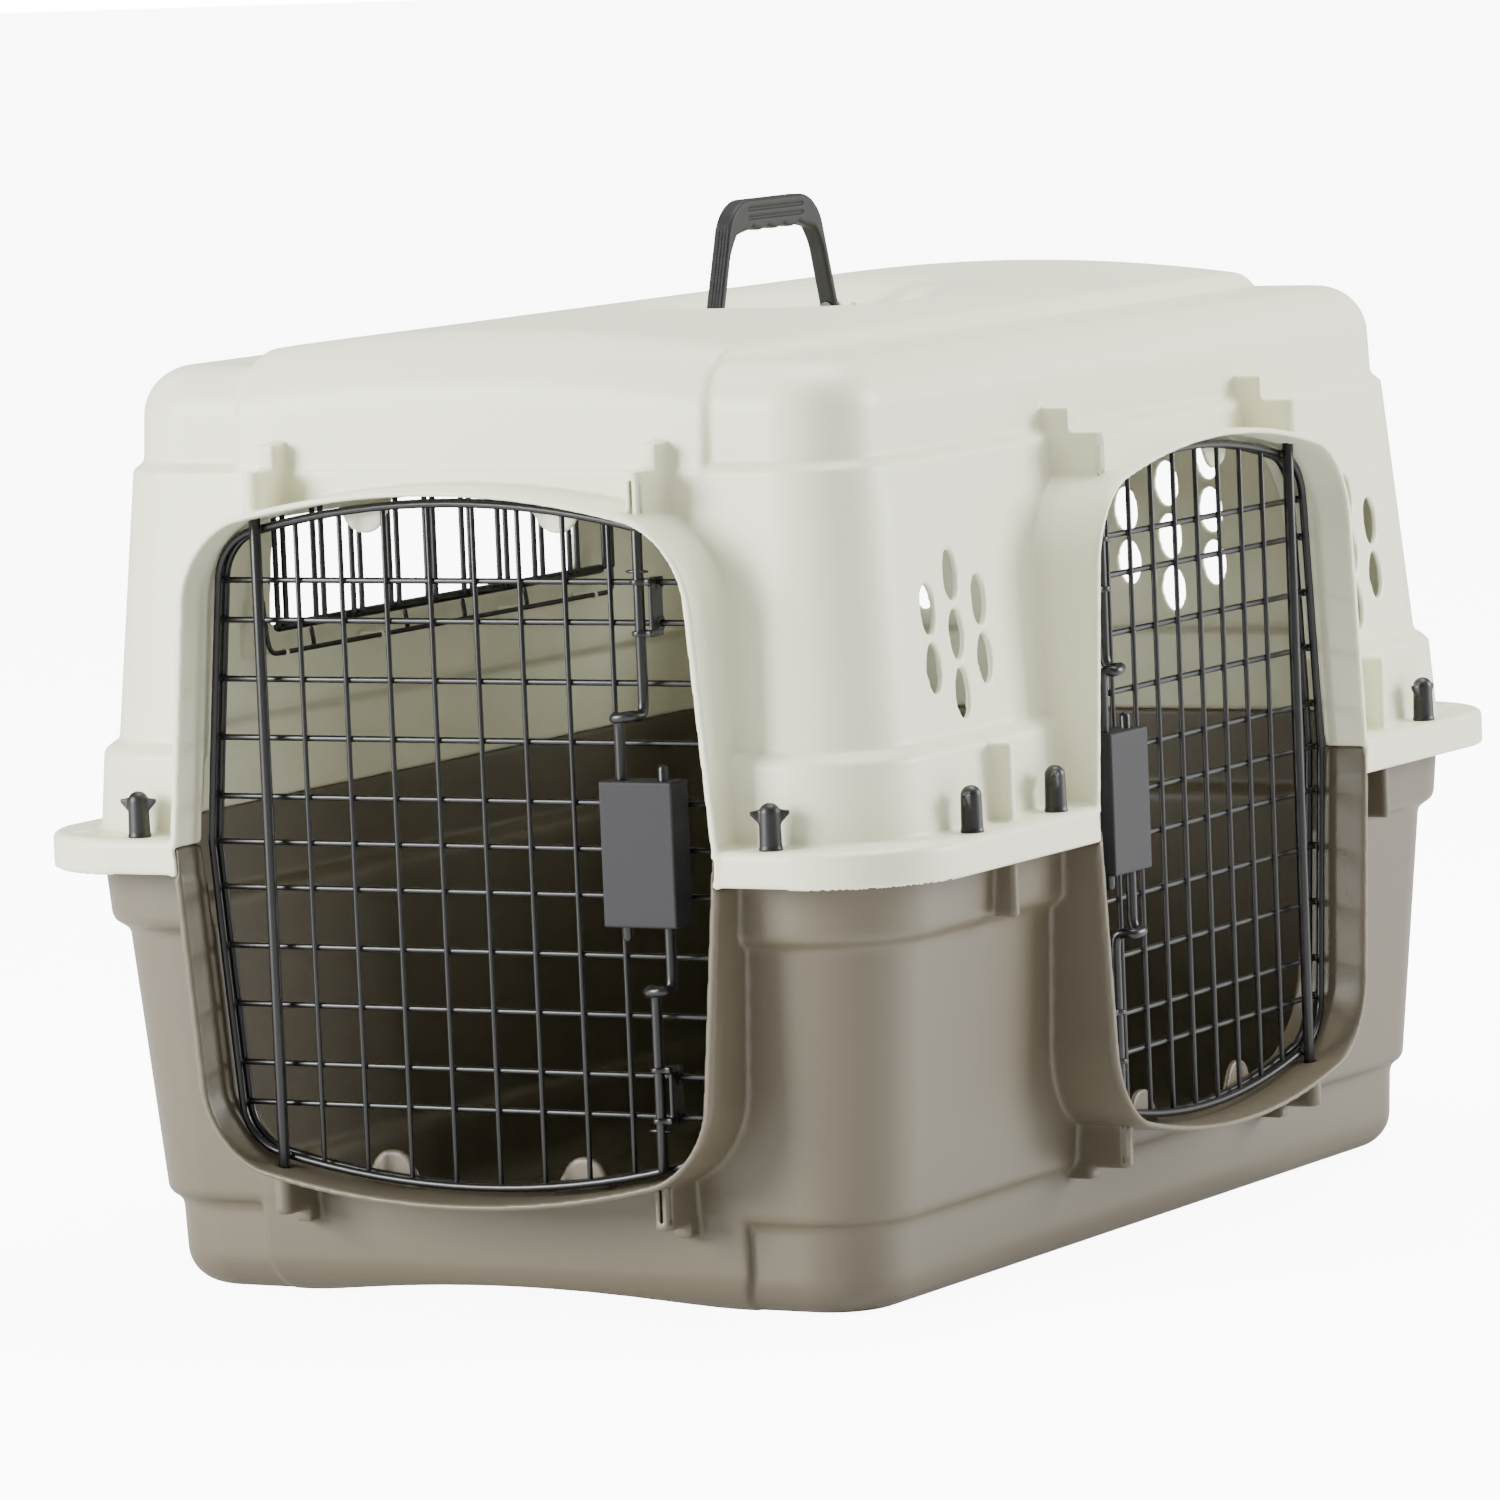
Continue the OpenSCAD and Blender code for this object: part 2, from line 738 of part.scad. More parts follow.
// A latch rod: straight upper length, finger crank, and a lower length through the housing.
// dir is 1 for the rod that goes up and -1 for the one that goes down.
module latch_rod(dir) color(BLACK_WIRE) {
    jog = rod_u - dir * crank_u;
    r = latch_rod_d / 2;
    top = [rod_u, rod_v, dir * (crank_z + 7)];
    front_a = [rod_u - dir * 1, rod_v - 9, dir * crank_z];
    front_b = [jog + dir * 1, rod_v - 10, dir * (crank_z - 1)];
    low = [jog, latch_rod_v, dir * (crank_z - 8)];
    knee_a = [rod_u, rod_v, dir * (crank_z - 1)];
    knee_b = [jog, latch_rod_v, dir * (crank_z)];
    translate([rod_u, rod_v, dir > 0 ? crank_z + 5 : -latch_tip])
        cylinder(r = r, h = latch_tip - crank_z - 5);
    translate([jog, latch_rod_v, dir > 0 ? -latch_h / 2 - stub_len : -crank_z + 6])
        cylinder(r = r, h = latch_h / 2 + stub_len + crank_z - 6);
    bar(concat(
        [top + [0, 0, dir * 3]],
        bezier(top, knee_a, knee_a + [0, -3, 0], front_a, 5),
        bezier(front_a + [-dir * 1.5, -1, 0], front_a + [-dir * 4, -2, 0],
            front_b + [dir * 4, -1, 0], front_b, 4),
        bezier(front_b + [-dir * 0.8, 1.5, 0], knee_b + [0, -3, 0], knee_b, low, 5),
        [low - [0, 0, dir * 3]]
    ), r - 0.06, [1, 1, 1]);
    // ears that meet the guide and limit the travel
    translate([rod_u - 7, rod_v - 0.8, dir * ear_z - 1])
        cube([7, 1.6, 2]);
    // flange that the spring pushes on
    translate([jog, latch_rod_v, dir * 12 - 1])
        cylinder(d = 10, h = 2);
}

module latch_housing() color(LATCH_GREY) {
    difference() {
        translate([rod_u - latch_w / 2, latch_v, -latch_h / 2])
            cube([latch_w, latch_d, latch_h]);
        translate([rod_u - latch_w / 2 + latch_wall, latch_v + latch_wall, -latch_h / 2 + latch_wall])
            cube([latch_w - 2 * latch_wall, latch_d, latch_h - 2 * latch_wall]);
        for (s = [-1, 1])
            translate([rod_u + s * crank_u, latch_rod_v, -latch_h])
                cylinder(d = latch_rod_d + 2 * running_gap, h = 2 * latch_h);
    }
    // web between the two springs
    translate([rod_u - web_t / 2, latch_v + latch_wall - 0.5, -latch_h / 2 + latch_wall - 0.5])
        cube([web_t, 11, latch_h - 2 * latch_wall + 1]);
}

// Rear cover of the latch, with three hooks round the middle wires
module latch_back_plate() color(LATCH_GREY) {
    inner_w = latch_w - 2 * latch_wall - 0.4;
    inner_h = latch_h - 2 * latch_wall - 0.4;
    back_v = latch_v + latch_d;
    difference() {
        union() {
            translate([rod_u - inner_w / 2, back_v - 2.2, -inner_h / 2])
                cube([inner_w, 2.2, inner_h]);
            for (z = hook_zs)
                translate([rod_u - 9, back_v - 1, z - 3.5])
                    cube([18, wire_v + 3.2 - back_v + 1, 7]);
        }
        for (z = hook_zs)
            translate([rod_u - 30, wire_v, z])
                rotate([0, 90, 0])
                    cylinder(d = cross_wire_d + 0.1, h = 60);
    }
}

// Compression spring round a latch rod, between its flange and the end of the housing
module latch_spring(dir) color(STEEL) {
    turns = 5;
    z0 = dir > 0 ? -latch_h / 2 + latch_wall + 1 : -10;
    length = latch_h / 2 - latch_wall + 9;
    steps = 12;
    bar([
        for (i = [0:turns * steps])
            [rod_u - dir * crank_u + 4 * cos(360 * i / steps),
             latch_rod_v + 4 * sin(360 * i / steps),
             z0 + length * i / (turns * steps)]
    ], 0.5, [0, 0, 1], 5);
}

// Bracket that holds a latch rod to the two end wires of the door
module rod_guide(dir) color(BLACK_WIRE) {
    difference() {
        union() {
            for (z = guide_rings)
                translate([rod_u, rod_v, dir * z - 1.5])
                    cylinder(d = 10, h = 3);
            for (z = guide_rings)
                translate([rod_u, rod_v - 2, dir * z - 1.5])
                    cube([7, 8, 3]);
            translate([rod_u + 4.8, rod_v - 4, dir * 116.75 - 13.75])
                cube([2.6, 14, 27.5]);
            for (z = guide_wires)
                translate([rod_u + 3.4, wire_v - 4, dir * z - 2.7])
                    cube([4, 6.4, 5.4]);
        }
        translate([rod_u, rod_v, dir * 116 - 40])
            cylinder(d = latch_rod_d + 2 * running_gap, h = 80);
        for (z = guide_wires)
            translate([rod_u - 20, wire_v, dir * z])
                rotate([0, 90, 0])
                    cylinder(d = cross_wire_d + 0.1, h = 60);
    }
}

// ---------- handle ----------

module handle() color(HANDLE_GREY) {
    difference() {
        union() {
            translate([handle_t / 2, 0, pivot_z])
                rotate([90, 0, -90])
                    linear_extrude(handle_t)
                        handle_outline();
            for (s = [-1, 1])
                translate([0, s * leg_y + leg_t / 2, pivot_z])
                    rotate([90, 0, 0])
                        cylinder(d = handle_t, h = leg_t);
        }
        // long grooves on both faces of the grip
        for (sx = [-1, 1], z = [handle_h + 1, handle_h - 3.5])
            translate([sx * handle_t / 2 - 0.8, -29, pivot_z + z - 1])
                cube([1.6, 58, 2]);
        translate([0, 200, pivot_z])
            rotate([90, 0, 0])
                cylinder(d = pin_d + 2 * running_gap, h = 400);
    }
}

// Seen along X: legs that lean in to a grip with rounded corners and a scalloped underside
module handle_outline() {
    top = handle_h + 6;
    lean = (leg_y - 43.5 + leg_t / 2) / top;
    foot = leg_y + leg_t / 2;
    neck = handle_h - 10;
    corner_r = 16;
    corner_y = foot - lean * (top - corner_r) - corner_r + 0.8;
    outer = concat(
        [[foot, -20], [foot, 3]],
        arc(corner_y, top - corner_r, corner_r, 14, 90, 6)
    );
    inner_r = 8;
    inner_y = foot - leg_t - lean * (neck - inner_r) - inner_r;
    half_grip = inner_y - 2;
    inner = concat(
        [[foot - leg_t, -20], [foot - leg_t, 3]],
        arc(inner_y, neck - inner_r, inner_r, 14, 78, 4),
        [for (i = [0:16]) [half_grip * (1 - i / 16), handle_h - 8 - 2.2 * abs(cos(180 * i / 8))]]
    );
    m = len(inner);
    difference() {
        polygon(concat(outer, [for (i = [len(outer) - 1:-1:0]) [-outer[i][0], outer[i][1]]]));
        polygon(concat(inner, [for (i = [m - 2:-1:0]) [-inner[i][0], inner[i][1]]]));
        translate([-100, -40])
            square([200, 40]);
    }
}

module handle_pivot_pins() color(BLACK_WIRE) {
    for (s = [-1, 1]) {
        translate([0, s > 0 ? leg_y - 4.5 : -leg_y - 8.5, pivot_z])
            rotate([-90, 0, 0])
                cylinder(d = pin_d, h = 13);
        translate([0, s > 0 ? leg_y - 4.5 : -leg_y + 3, pivot_z])
            rotate([-90, 0, 0])
                cylinder(d = 7, h = 1.5);
    }
}

// ---------- window guard ----------

// Top wire of the guard and pairs of uprights that stand on the sill rod
module window_grille_wires() color(BLACK_WIRE) {
    y0 = window_y0 - 20;
    span = window_y1 - window_y0 + 40;
    foot = window_z0 - 4;
    translate([grille_x, y0, guard_top])
        rotate([-90, 0, 0])
            cylinder(d = guard_wire_d, h = span);
    for (i = [0:guard_pairs], dy = [-4, 4])
        translate([grille_x + 2.6, y0 + 8 + (span - 16) * i / guard_pairs + dy, foot])
            cylinder(d = guard_wire_d, h = guard_top - foot + 2);
}

module window_sill_rod() color(BLACK_WIRE) {
    translate([grille_x - 1.5, window_y0 - 12, window_z0])
        rotate([-90, 0, 0])
            cylinder(d = 5, h = window_y1 - window_y0 + 24);
}

// Thin wire under the sill, with hooks that rise to the sill rod
module window_lower_wire() color(BLACK_WIRE) {
    y0 = window_y0 - 22;
    y1 = window_y1 + 22;
    d = 2.6;
    translate([grille_x, y0, guard_low])
        rotate([-90, 0, 0])
            cylinder(d = d, h = y1 - y0);
    for (y = [y0 + d / 2, -100, -38, 84, y1 - d / 2])
        translate([grille_x - 2.5, y, guard_low - 0.5])
            cylinder(d = d, h = abs(y) > window_y1 ? 30 : 10.2);
}

// Lugs that hold the guard's wires off the wall
module window_clips() color(CREAM) {
    for (y = clip_ys) {
        window_clip(y, guard_low, 12.6, 2.7);
        window_clip(y, guard_top, 6, 3.1);
    }
}

module window_clip(y, z, reach, hole) {
    difference() {
        translate([grille_x - reach, y, z - 3])
            cube([reach + 1, clip_w, 6]);
        translate([grille_x, y - 1, z])
            rotate([-90, 0, 0])
                cylinder(d = hole, h = clip_w + 2);
    }
}

// ---------- fasteners ----------

module flange_bolts() color(STEEL) {
    for (p = nut_xy)
        translate([p[0], p[1], 0]) {
            translate([0, 0, part_z - plate_t - 3.5])
                cylinder(d = 10, h = 3.5);
            translate([0, 0, part_z - plate_t - 0.5])
                cylinder(d = bolt_d, h = 22);
        }
}

module wing_nut(i) color(BLACK_WIRE) {
    p = nut_xy[i];
    translate([p[0], p[1], top_z])
        rotate([0, 0, nut_turns[i]])
            difference() {
                union() {
                    cylinder(d = nut_d, h = nut_h);
                    translate([0, 0, nut_h])
                        sphere(d = nut_d);
                    for (s = [0, 180])
                        rotate([0, 0, s])
                            translate([3, nut_wing_t / 2, 10])
                                rotate([90, 0, 0])
                                    linear_extrude(nut_wing_t)
                                        polygon(nut_wing);
                }
                translate([0, 0, -1])
                    cylinder(d = bolt_d + 2 * running_gap, h = 16);
            }
}

upper_shell();
lower_shell();
at_front_wall() door_frame();  // front_door_frame
at_front_wall() door_level_wires();  // front_door_level_wires
at_front_wall() door_upright_wires();  // front_door_upright_wires
at_front_wall() hinge_rod();  // front_hinge_rod
at_front_wall() latch_housing();  // front_latch_housing
at_front_wall() latch_back_plate();  // front_latch_back_plate
at_front_wall() latch_rod(1);  // front_upper_latch_rod
at_front_wall() latch_rod(-1);  // front_lower_latch_rod
at_front_wall() latch_spring(1);  // front_upper_spring
at_front_wall() latch_spring(-1);  // front_lower_spring
at_front_wall() rod_guide(1);  // front_upper_rod_guide
at_front_wall() rod_guide(-1);  // front_lower_rod_guide
at_side_door() door_frame();  // side_door_frame
at_side_door() door_level_wires();  // side_door_level_wires
at_side_door() door_upright_wires();  // side_door_upright_wires
at_side_door() hinge_rod();  // side_hinge_rod
at_side_door() latch_housing();  // side_latch_housing
at_side_door() latch_back_plate();  // side_latch_back_plate
at_side_door() latch_rod(-1);  // side_upper_latch_rod
at_side_door() latch_rod(1);  // side_lower_latch_rod
at_side_door() latch_spring(-1);  // side_upper_spring
at_side_door() latch_spring(1);  // side_lower_spring
at_side_door() rod_guide(-1);  // side_upper_rod_guide
at_side_door() rod_guide(1);  // side_lower_rod_guide
handle();
handle_pivot_pins();
window_grille_wires();
window_sill_rod();
window_lower_wire();
window_clips();
flange_bolts();
wing_nut(0);  // wing_nut_01
wing_nut(1);  // wing_nut_02
wing_nut(2);  // wing_nut_03
wing_nut(3);  // wing_nut_04
wing_nut(4);  // wing_nut_05
wing_nut(5);  // wing_nut_06
wing_nut(6);  // wing_nut_07
wing_nut(7);  // wing_nut_08
wing_nut(8);  // wing_nut_09
wing_nut(9);  // wing_nut_10
wing_nut(10);  // wing_nut_11
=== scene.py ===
"""Looks of a two-door plastic pet carrier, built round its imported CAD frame.

Blender works in metres. The implicit shapes and the wires below are worked out in millimetres and
scaled when their meshes are made. X runs across the front end, Y along the carrier, and Z up."""
import json
import math

import bpy
import numpy as np
from mathutils import Matrix, Vector


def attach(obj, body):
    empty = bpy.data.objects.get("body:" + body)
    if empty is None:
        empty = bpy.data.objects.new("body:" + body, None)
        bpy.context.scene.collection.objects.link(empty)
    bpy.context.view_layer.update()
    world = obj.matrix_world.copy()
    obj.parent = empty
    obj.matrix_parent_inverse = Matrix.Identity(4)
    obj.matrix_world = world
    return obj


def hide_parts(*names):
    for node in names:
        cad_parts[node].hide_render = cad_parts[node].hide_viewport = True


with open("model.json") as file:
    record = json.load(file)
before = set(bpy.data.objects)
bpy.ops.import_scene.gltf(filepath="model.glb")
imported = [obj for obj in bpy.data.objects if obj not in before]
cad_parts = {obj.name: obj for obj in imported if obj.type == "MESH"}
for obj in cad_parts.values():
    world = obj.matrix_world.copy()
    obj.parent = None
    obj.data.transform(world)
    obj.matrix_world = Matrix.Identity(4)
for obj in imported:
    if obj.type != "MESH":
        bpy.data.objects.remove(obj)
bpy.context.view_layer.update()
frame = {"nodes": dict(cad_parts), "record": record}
MM = 0.001

# ---------------------------------------------------------------- main sizes in mm, as in the CAD part
FX, FY, FR = 250.0, 350.0, 62.0        # flange: half width, half length, corner radius
PART_Z, TOP_Z, SKIRT_Z = 226.0, 230.0, 212.0      # parting plane, flange's top, foot of its skirt
ROOF_Z, CROWN_Z, CROWN_R = 457.0, 473.0, 985.0    # roof's edge, top and radius of its raised panel
SKIN = 3.2                             # wall thickness as drawn
DOOR_Z, SIDE_Y = 227.0, 9.0            # both doors' middle height, and the side door's place in Y
RIM_T = 4.4                            # thickness of a door surround
COLLAR_V = 46.0                        # how far a surround reaches into the cabin
OPENING_V = 60.0                       # depth that is cut through for a door
ROD_U, ROD_V = 107.0, 17.0             # rods: across from a door's middle, and behind its surround's face
HINGE_V = ROD_V + 0.7
WIRE_V = ROD_V + 8.8                   # middle of a door's level wires
HINGE_BORE_R, LATCH_BORE_R, BORE_W = 2.9, 3.5, 178.0
HINGE_SIDES = (-1, 1)                  # side of each surround that holds the hinge rod
STOP_U, STOP_INSET = 54, 1.5
PIVOT_Z, LUG_Y = 461.0, 66.3           # handle's pivot and the lugs that carry it
VENT_W, VENT_PITCH_W, BACK_PITCH_U = 94, 28.5, 25.5
WINDOW_Z, WINDOW_HALF = 343, (153, 27)
BOLT_HOLE_R, CORNER_HOLE_R, CORNER_HOLE = 2.9, 4.0, (224, 324)
NUTS = [(-177, -340), (177, -340), (240, -256), (240, -169), (240, 251),
        (177, 340), (-177, 340), (-240, 251), (-240, 92), (-240, -92), (-240, -256)]
RIBS_Y, RIB_HALF = (-212, 205), 2.8    # upright ribs across the flange on the long sides


# ---------------------------------------------------------------- implicit shapes
# Each field is near its distance from the surface in mm, and negative inside.
def rmax(a, b, r):
    """Intersection with a round edge of radius r."""
    return np.minimum(-r, np.maximum(a, b)) + np.hypot(np.maximum(a + r, 0), np.maximum(b + r, 0))


def rmin(a, b, r):
    """Union with a round fillet of radius r."""
    return np.maximum(r, np.minimum(a, b)) - np.hypot(np.maximum(r - a, 0), np.maximum(r - b, 0))


def cut(a, b, r=0.0):
    """a without b, the edge rounded by r."""
    return rmax(a, -b, r) if r else np.maximum(a, -b)


def rrect(x, y, hx, hy, r):
    """Upright prism over a rectangle of half sizes hx and hy with corner radius r."""
    qx, qy = np.abs(x) - (hx - r), np.abs(y) - (hy - r)
    return np.minimum(np.maximum(qx, qy), 0) + np.hypot(np.maximum(qx, 0), np.maximum(qy, 0)) - r


def block(x, y, z, c, h, r=0.0):
    """Box with centre c, half sizes h and edge radius r."""
    q = [np.abs(v - k) - (s - r) for v, k, s in zip((x, y, z), c, h)]
    out = np.sqrt(sum(np.maximum(v, 0) ** 2 for v in q))
    return out + np.minimum(np.maximum(q[0], np.maximum(q[1], q[2])), 0) - r


def pill(a, y, c, half, r):
    """Bar of radius r along y, with round ends at y = half and -half."""
    return np.sqrt(a * a + c * c + np.maximum(np.abs(y) - half, 0) ** 2) - r


# ---------------------------------------------------------------- meshes from fields
SLAB = 48                              # samples along each side of a slab
FAR = 1e3                              # value given to a slab that the surface can't reach


def sample_field(field, axes, step):
    """Field on the grid. A slab whose middle is far from the surface only gets its sign."""
    f = np.full([len(a) for a in axes], FAR, np.float32)
    reach = 0.5 * step * SLAB * 1.75 * 1.35       # half a slab's diagonal, with room for steep fields
    for i in range(0, f.shape[0], SLAB):
        for j in range(0, f.shape[1], SLAB):
            for k in range(0, f.shape[2], SLAB):
                part = [axes[0][i:i + SLAB], axes[1][j:j + SLAB], axes[2][k:k + SLAB]]
                here = np.s_[i:i + SLAB, j:j + SLAB, k:k + SLAB]
                middle = [np.full((1, 1, 1), 0.5 * (p[0] + p[-1])) for p in part]
                d = float(field(*middle).ravel()[0])
                if abs(d) > reach:
                    f[here] = np.sign(d) * FAR
                else:
                    f[here] = field(part[0][:, None, None], part[1][None, :, None], part[2][None, None, :])
    return f


def net_vertices(f, cells):
    """Each cell's vertex in grid steps: the mean of the points where the surface cuts its edges."""
    total, hits = np.zeros((len(cells), 3)), np.zeros(len(cells))
    for axis in range(3):
        u, v = [k for k in range(3) if k != axis]
        for a in (0, 1):
            for b in (0, 1):
                base = cells.copy()
                base[:, u] += a
                base[:, v] += b
                end = base.copy()
                end[:, axis] += 1
                f0, f1 = f[tuple(base.T)], f[tuple(end.T)]
                cross = (f0 < 0) != (f1 < 0)
                t = np.where(cross, f0 / np.where(cross, f0 - f1, 1), 0)
                p = base.astype(float)
                p[:, axis] += t
                total += p * cross[:, None]
                hits += cross
    return total / hits[:, None]


def net_quads(inside, index):
    """A quad round each grid edge that the surface cuts, facing outwards."""
    n = inside.shape
    quads = []
    for axis in range(3):
        u, v = (axis + 1) % 3, (axis + 2) % 3
        first, second = [slice(None)] * 3, [slice(None)] * 3
        first[axis], second[axis] = slice(0, -1), slice(1, None)
        at = np.argwhere(inside[tuple(first)] != inside[tuple(second)])
        at = at[(at[:, u] > 0) & (at[:, v] > 0) & (at[:, u] < n[u] - 1) & (at[:, v] < n[v] - 1)]
        corners = []
        for du, dv in ((0, 0), (-1, 0), (-1, -1), (0, -1)):
            cell = at.copy()
            cell[:, u] += du
            cell[:, v] += dv
            corners.append(index[tuple(cell.T)])
        quad = np.stack(corners, 1)
        entering = ~inside[tuple(at.T)]
        quad[entering] = quad[entering][:, ::-1]
        quads.append(quad)
    return np.concatenate(quads)


def surface_net(field, lo, hi, step):
    """Mesh of field = 0 as (vertices, quads), with one vertex in each cell that the surface crosses."""
    lo, hi = np.array(lo, float), np.array(hi, float)
    n = np.ceil((hi - lo) / step).astype(int) + 1
    f = sample_field(field, [lo[k] + step * np.arange(n[k]) for k in range(3)], step)
    inside = f < 0
    count = np.zeros(n - 1, np.int8)
    for a in (0, 1):
        for b in (0, 1):
            for c in (0, 1):
                count += inside[a:n[0] - 1 + a, b:n[1] - 1 + b, c:n[2] - 1 + c]
    cells = np.argwhere((count > 0) & (count < 8))
    index = np.full(n - 1, -1, np.int32)
    index[tuple(cells.T)] = np.arange(len(cells), dtype=np.int32)
    return lo + step * net_vertices(f, cells), net_quads(inside, index)


def mesh_from(name, verts, faces):
    """Smooth-shaded object from vertices in mm and an array of faces."""
    mesh = bpy.data.meshes.new(name)
    faces = np.asarray(faces)
    mesh.vertices.add(len(verts))
    mesh.vertices.foreach_set("co", (np.asarray(verts, float) * MM).ravel())
    sides = faces.shape[1]
    mesh.loops.add(faces.size)
    mesh.loops.foreach_set("vertex_index", faces.ravel())
    mesh.polygons.add(len(faces))
    mesh.polygons.foreach_set("loop_start", np.arange(0, faces.size, sides))
    mesh.polygons.foreach_set("loop_total", np.full(len(faces), sides))
    mesh.update(calc_edges=True)
    mesh.validate()
    mesh.polygons.foreach_set("use_smooth", np.ones(len(mesh.polygons), bool))
    obj = bpy.data.objects.new(name, mesh)
    bpy.context.scene.collection.objects.link(obj)
    return obj


# ---------------------------------------------------------------- tubes
DOME = [(1.0, 0.12), (0.88, 0.5), (0.55, 0.85)]   # a free end's rings: (reach, size), over the radius


def domed(pts, radius):
    """Points and radii of a bar whose ends are drawn in to domes."""
    d0, d1 = pts[0] - pts[1], pts[-1] - pts[-2]
    d0, d1 = d0 / np.linalg.norm(d0), d1 / np.linalg.norm(d1)
    head = [pts[0] + d0 * radius * (k - 1.0) for k, _ in DOME]
    tail = [pts[-1] + d1 * radius * (k - 1.0) for k, _ in DOME][::-1]
    ends = [radius * s for _, s in DOME]
    pts = np.vstack([head, pts[0] - d0 * radius, pts[1:-1], pts[-1] - d1 * radius, tail])
    return pts, np.concatenate([ends, np.full(len(pts) - 2 * len(DOME), float(radius)), ends[::-1]])


def tube(points, radius, sides=14, closed=False, ends=True):
    """Mesh of a round bar along points, its free ends domed: (vertices, faces as quads)."""
    pts = np.asarray(points, float)
    radii = np.full(len(pts), float(radius))
    if ends and not closed:
        pts, radii = domed(pts, radius)
    after, before = np.roll(pts, -1, 0), np.roll(pts, 1, 0)
    if not closed:
        after[-1], before[0] = pts[-1], pts[0]
    tan = after - before
    tan /= np.linalg.norm(tan, axis=1)[:, None]
    ref = np.array([0.31, 0.83, 0.46])            # along none of the bars
    side = ref - tan[0] * ref.dot(tan[0])
    angle = 2 * np.pi * np.arange(sides) / sides
    rings = []
    for i, t in enumerate(tan):
        side = side - t * side.dot(t)
        side /= np.linalg.norm(side)
        other = np.cross(t, side)
        rings.append(pts[i] + radii[i] * (np.cos(angle)[:, None] * side + np.sin(angle)[:, None] * other))
    verts = np.vstack(rings)
    n = len(pts)
    i, j = np.meshgrid(np.arange(n if closed else n - 1), np.arange(sides), indexing="ij")
    i, j = i.ravel(), j.ravel()
    twist = 0
    if closed:
        start = rings[0][0] - pts[0]
        turn = np.arctan2(start.dot(np.cross(tan[0], side)), start.dot(side))
        twist = np.where(i == n - 1, -int(round(turn / (2 * np.pi / sides))), 0)
    k = (i + 1) % n
    faces = np.stack([i * sides + j, i * sides + (j + 1) % sides,
                      k * sides + (j + 1 + twist) % sides, k * sides + (j + twist) % sides], 1)
    if closed:
        return verts, faces
    caps = []
    for base, flip in ((0, True), ((n - 1) * sides, False)):
        verts = np.vstack([verts, verts[base:base + sides].mean(0)])
        mid = len(verts) - 1
        for q in range(0, sides, 2):
            quad = [mid, base + q, base + q + 1, base + (q + 2) % sides]
            caps.append(quad[::-1] if flip else quad)
    return verts, np.vstack([faces, caps])


def bar(a, b, radius, sides=12):
    """Straight round bar with domed ends."""
    a, b = np.asarray(a, float), np.asarray(b, float)
    return tube([a + (b - a) * t for t in (0, 0.3, 0.7, 1)], radius, sides)


def joined(parts):
    """Several (vertices, faces) as one."""
    verts, faces, base = [], [], 0
    for v, f in parts:
        verts.append(v)
        faces.append(np.asarray(f) + base)
        base += len(v)
    return np.vstack(verts), np.vstack(faces)


def blob(centre, radii, rings=6, sides=10):
    """Small ellipsoid, such as a weld: (vertices, faces)."""
    down = np.linspace(0.12, math.pi - 0.12, rings)
    around = 2 * np.pi * np.arange(sides) / sides
    verts = np.array([[math.sin(p) * math.cos(q), math.sin(p) * math.sin(q), math.cos(p)]
                      for p in down for q in around])
    faces = [[i * sides + j, (i + 1) * sides + j,
              (i + 1) * sides + (j + 1) % sides, i * sides + (j + 1) % sides]
             for i in range(rings - 1) for j in range(sides)]
    return np.asarray(centre, float) + verts * np.asarray(radii, float), np.array(faces)


def bezier(a, b, c, d, n=8):
    """Points of a cubic curve with ends a and d and handles b and c."""
    a, b, c, d = (np.asarray(p, float) for p in (a, b, c, d))
    t = np.linspace(0, 1, n + 1)[:, None]
    s = 1 - t
    return s ** 3 * a + 3 * s * s * t * b + 3 * s * t * t * c + t ** 3 * d


# ---------------------------------------------------------------- walls of the two shells
# A door surround's outline has a wide arc above and below, and sides that lean in away from its middle.
RIM_ARCH_R, RIM_ARCH_W, RIM_ARCH_T = 464.0, 290.0, 3.0
RIM_HALF, RIM_LEAN, RIM_LEAN_COS, RIM_CORNER_R = 154.0, 0.0849, 0.9964, 32.0

# Tiers of each shell's wall: (height, inset from the flange, corner radius)
UPPER_ROWS = [(226, 20, 52), (267.5, 22.4, 52), (269.5, 23.4, 52), (271.6, 25.8, 50), (273.2, 28.6, 48),
              (275.5, 29.6, 47), (405.5, 40.3, 42), (407.3, 41.2, 42), (409, 43.4, 41), (411, 44.9, 40),
              (433, 45.7, 40), (470, 46.9, 40)]
LOWER_ROWS = [(-20, 48.6, 40), (40, 46.6, 40), (43, 45.9, 40), (45, 44, 41), (46.6, 42, 42), (49, 40.8, 42),
              (178, 30.2, 47), (180.5, 29.2, 47), (182.2, 26.6, 49), (184.2, 23.8, 51), (187, 22.5, 52),
              (226, 19.8, 52)]
WALL_STEEPNESS = 0.985                 # brings a leaning wall's field back to its distance
MIN_CORNER_R = 8
INNER_WALL_ANGLES = (-70, -35, 0, 35, 70)


def rim(u, w, inset=0.0):
    """Outline of a door surround moved in by inset: u across, w up from the door's middle."""
    arch = np.hypot(u, np.abs(w) + RIM_ARCH_W) - (RIM_ARCH_R - min(inset, RIM_ARCH_T))
    side = (np.abs(u) - RIM_HALF) * RIM_LEAN_COS + np.abs(w) * RIM_LEAN + inset
    return rmax(arch, side, RIM_CORNER_R - inset)


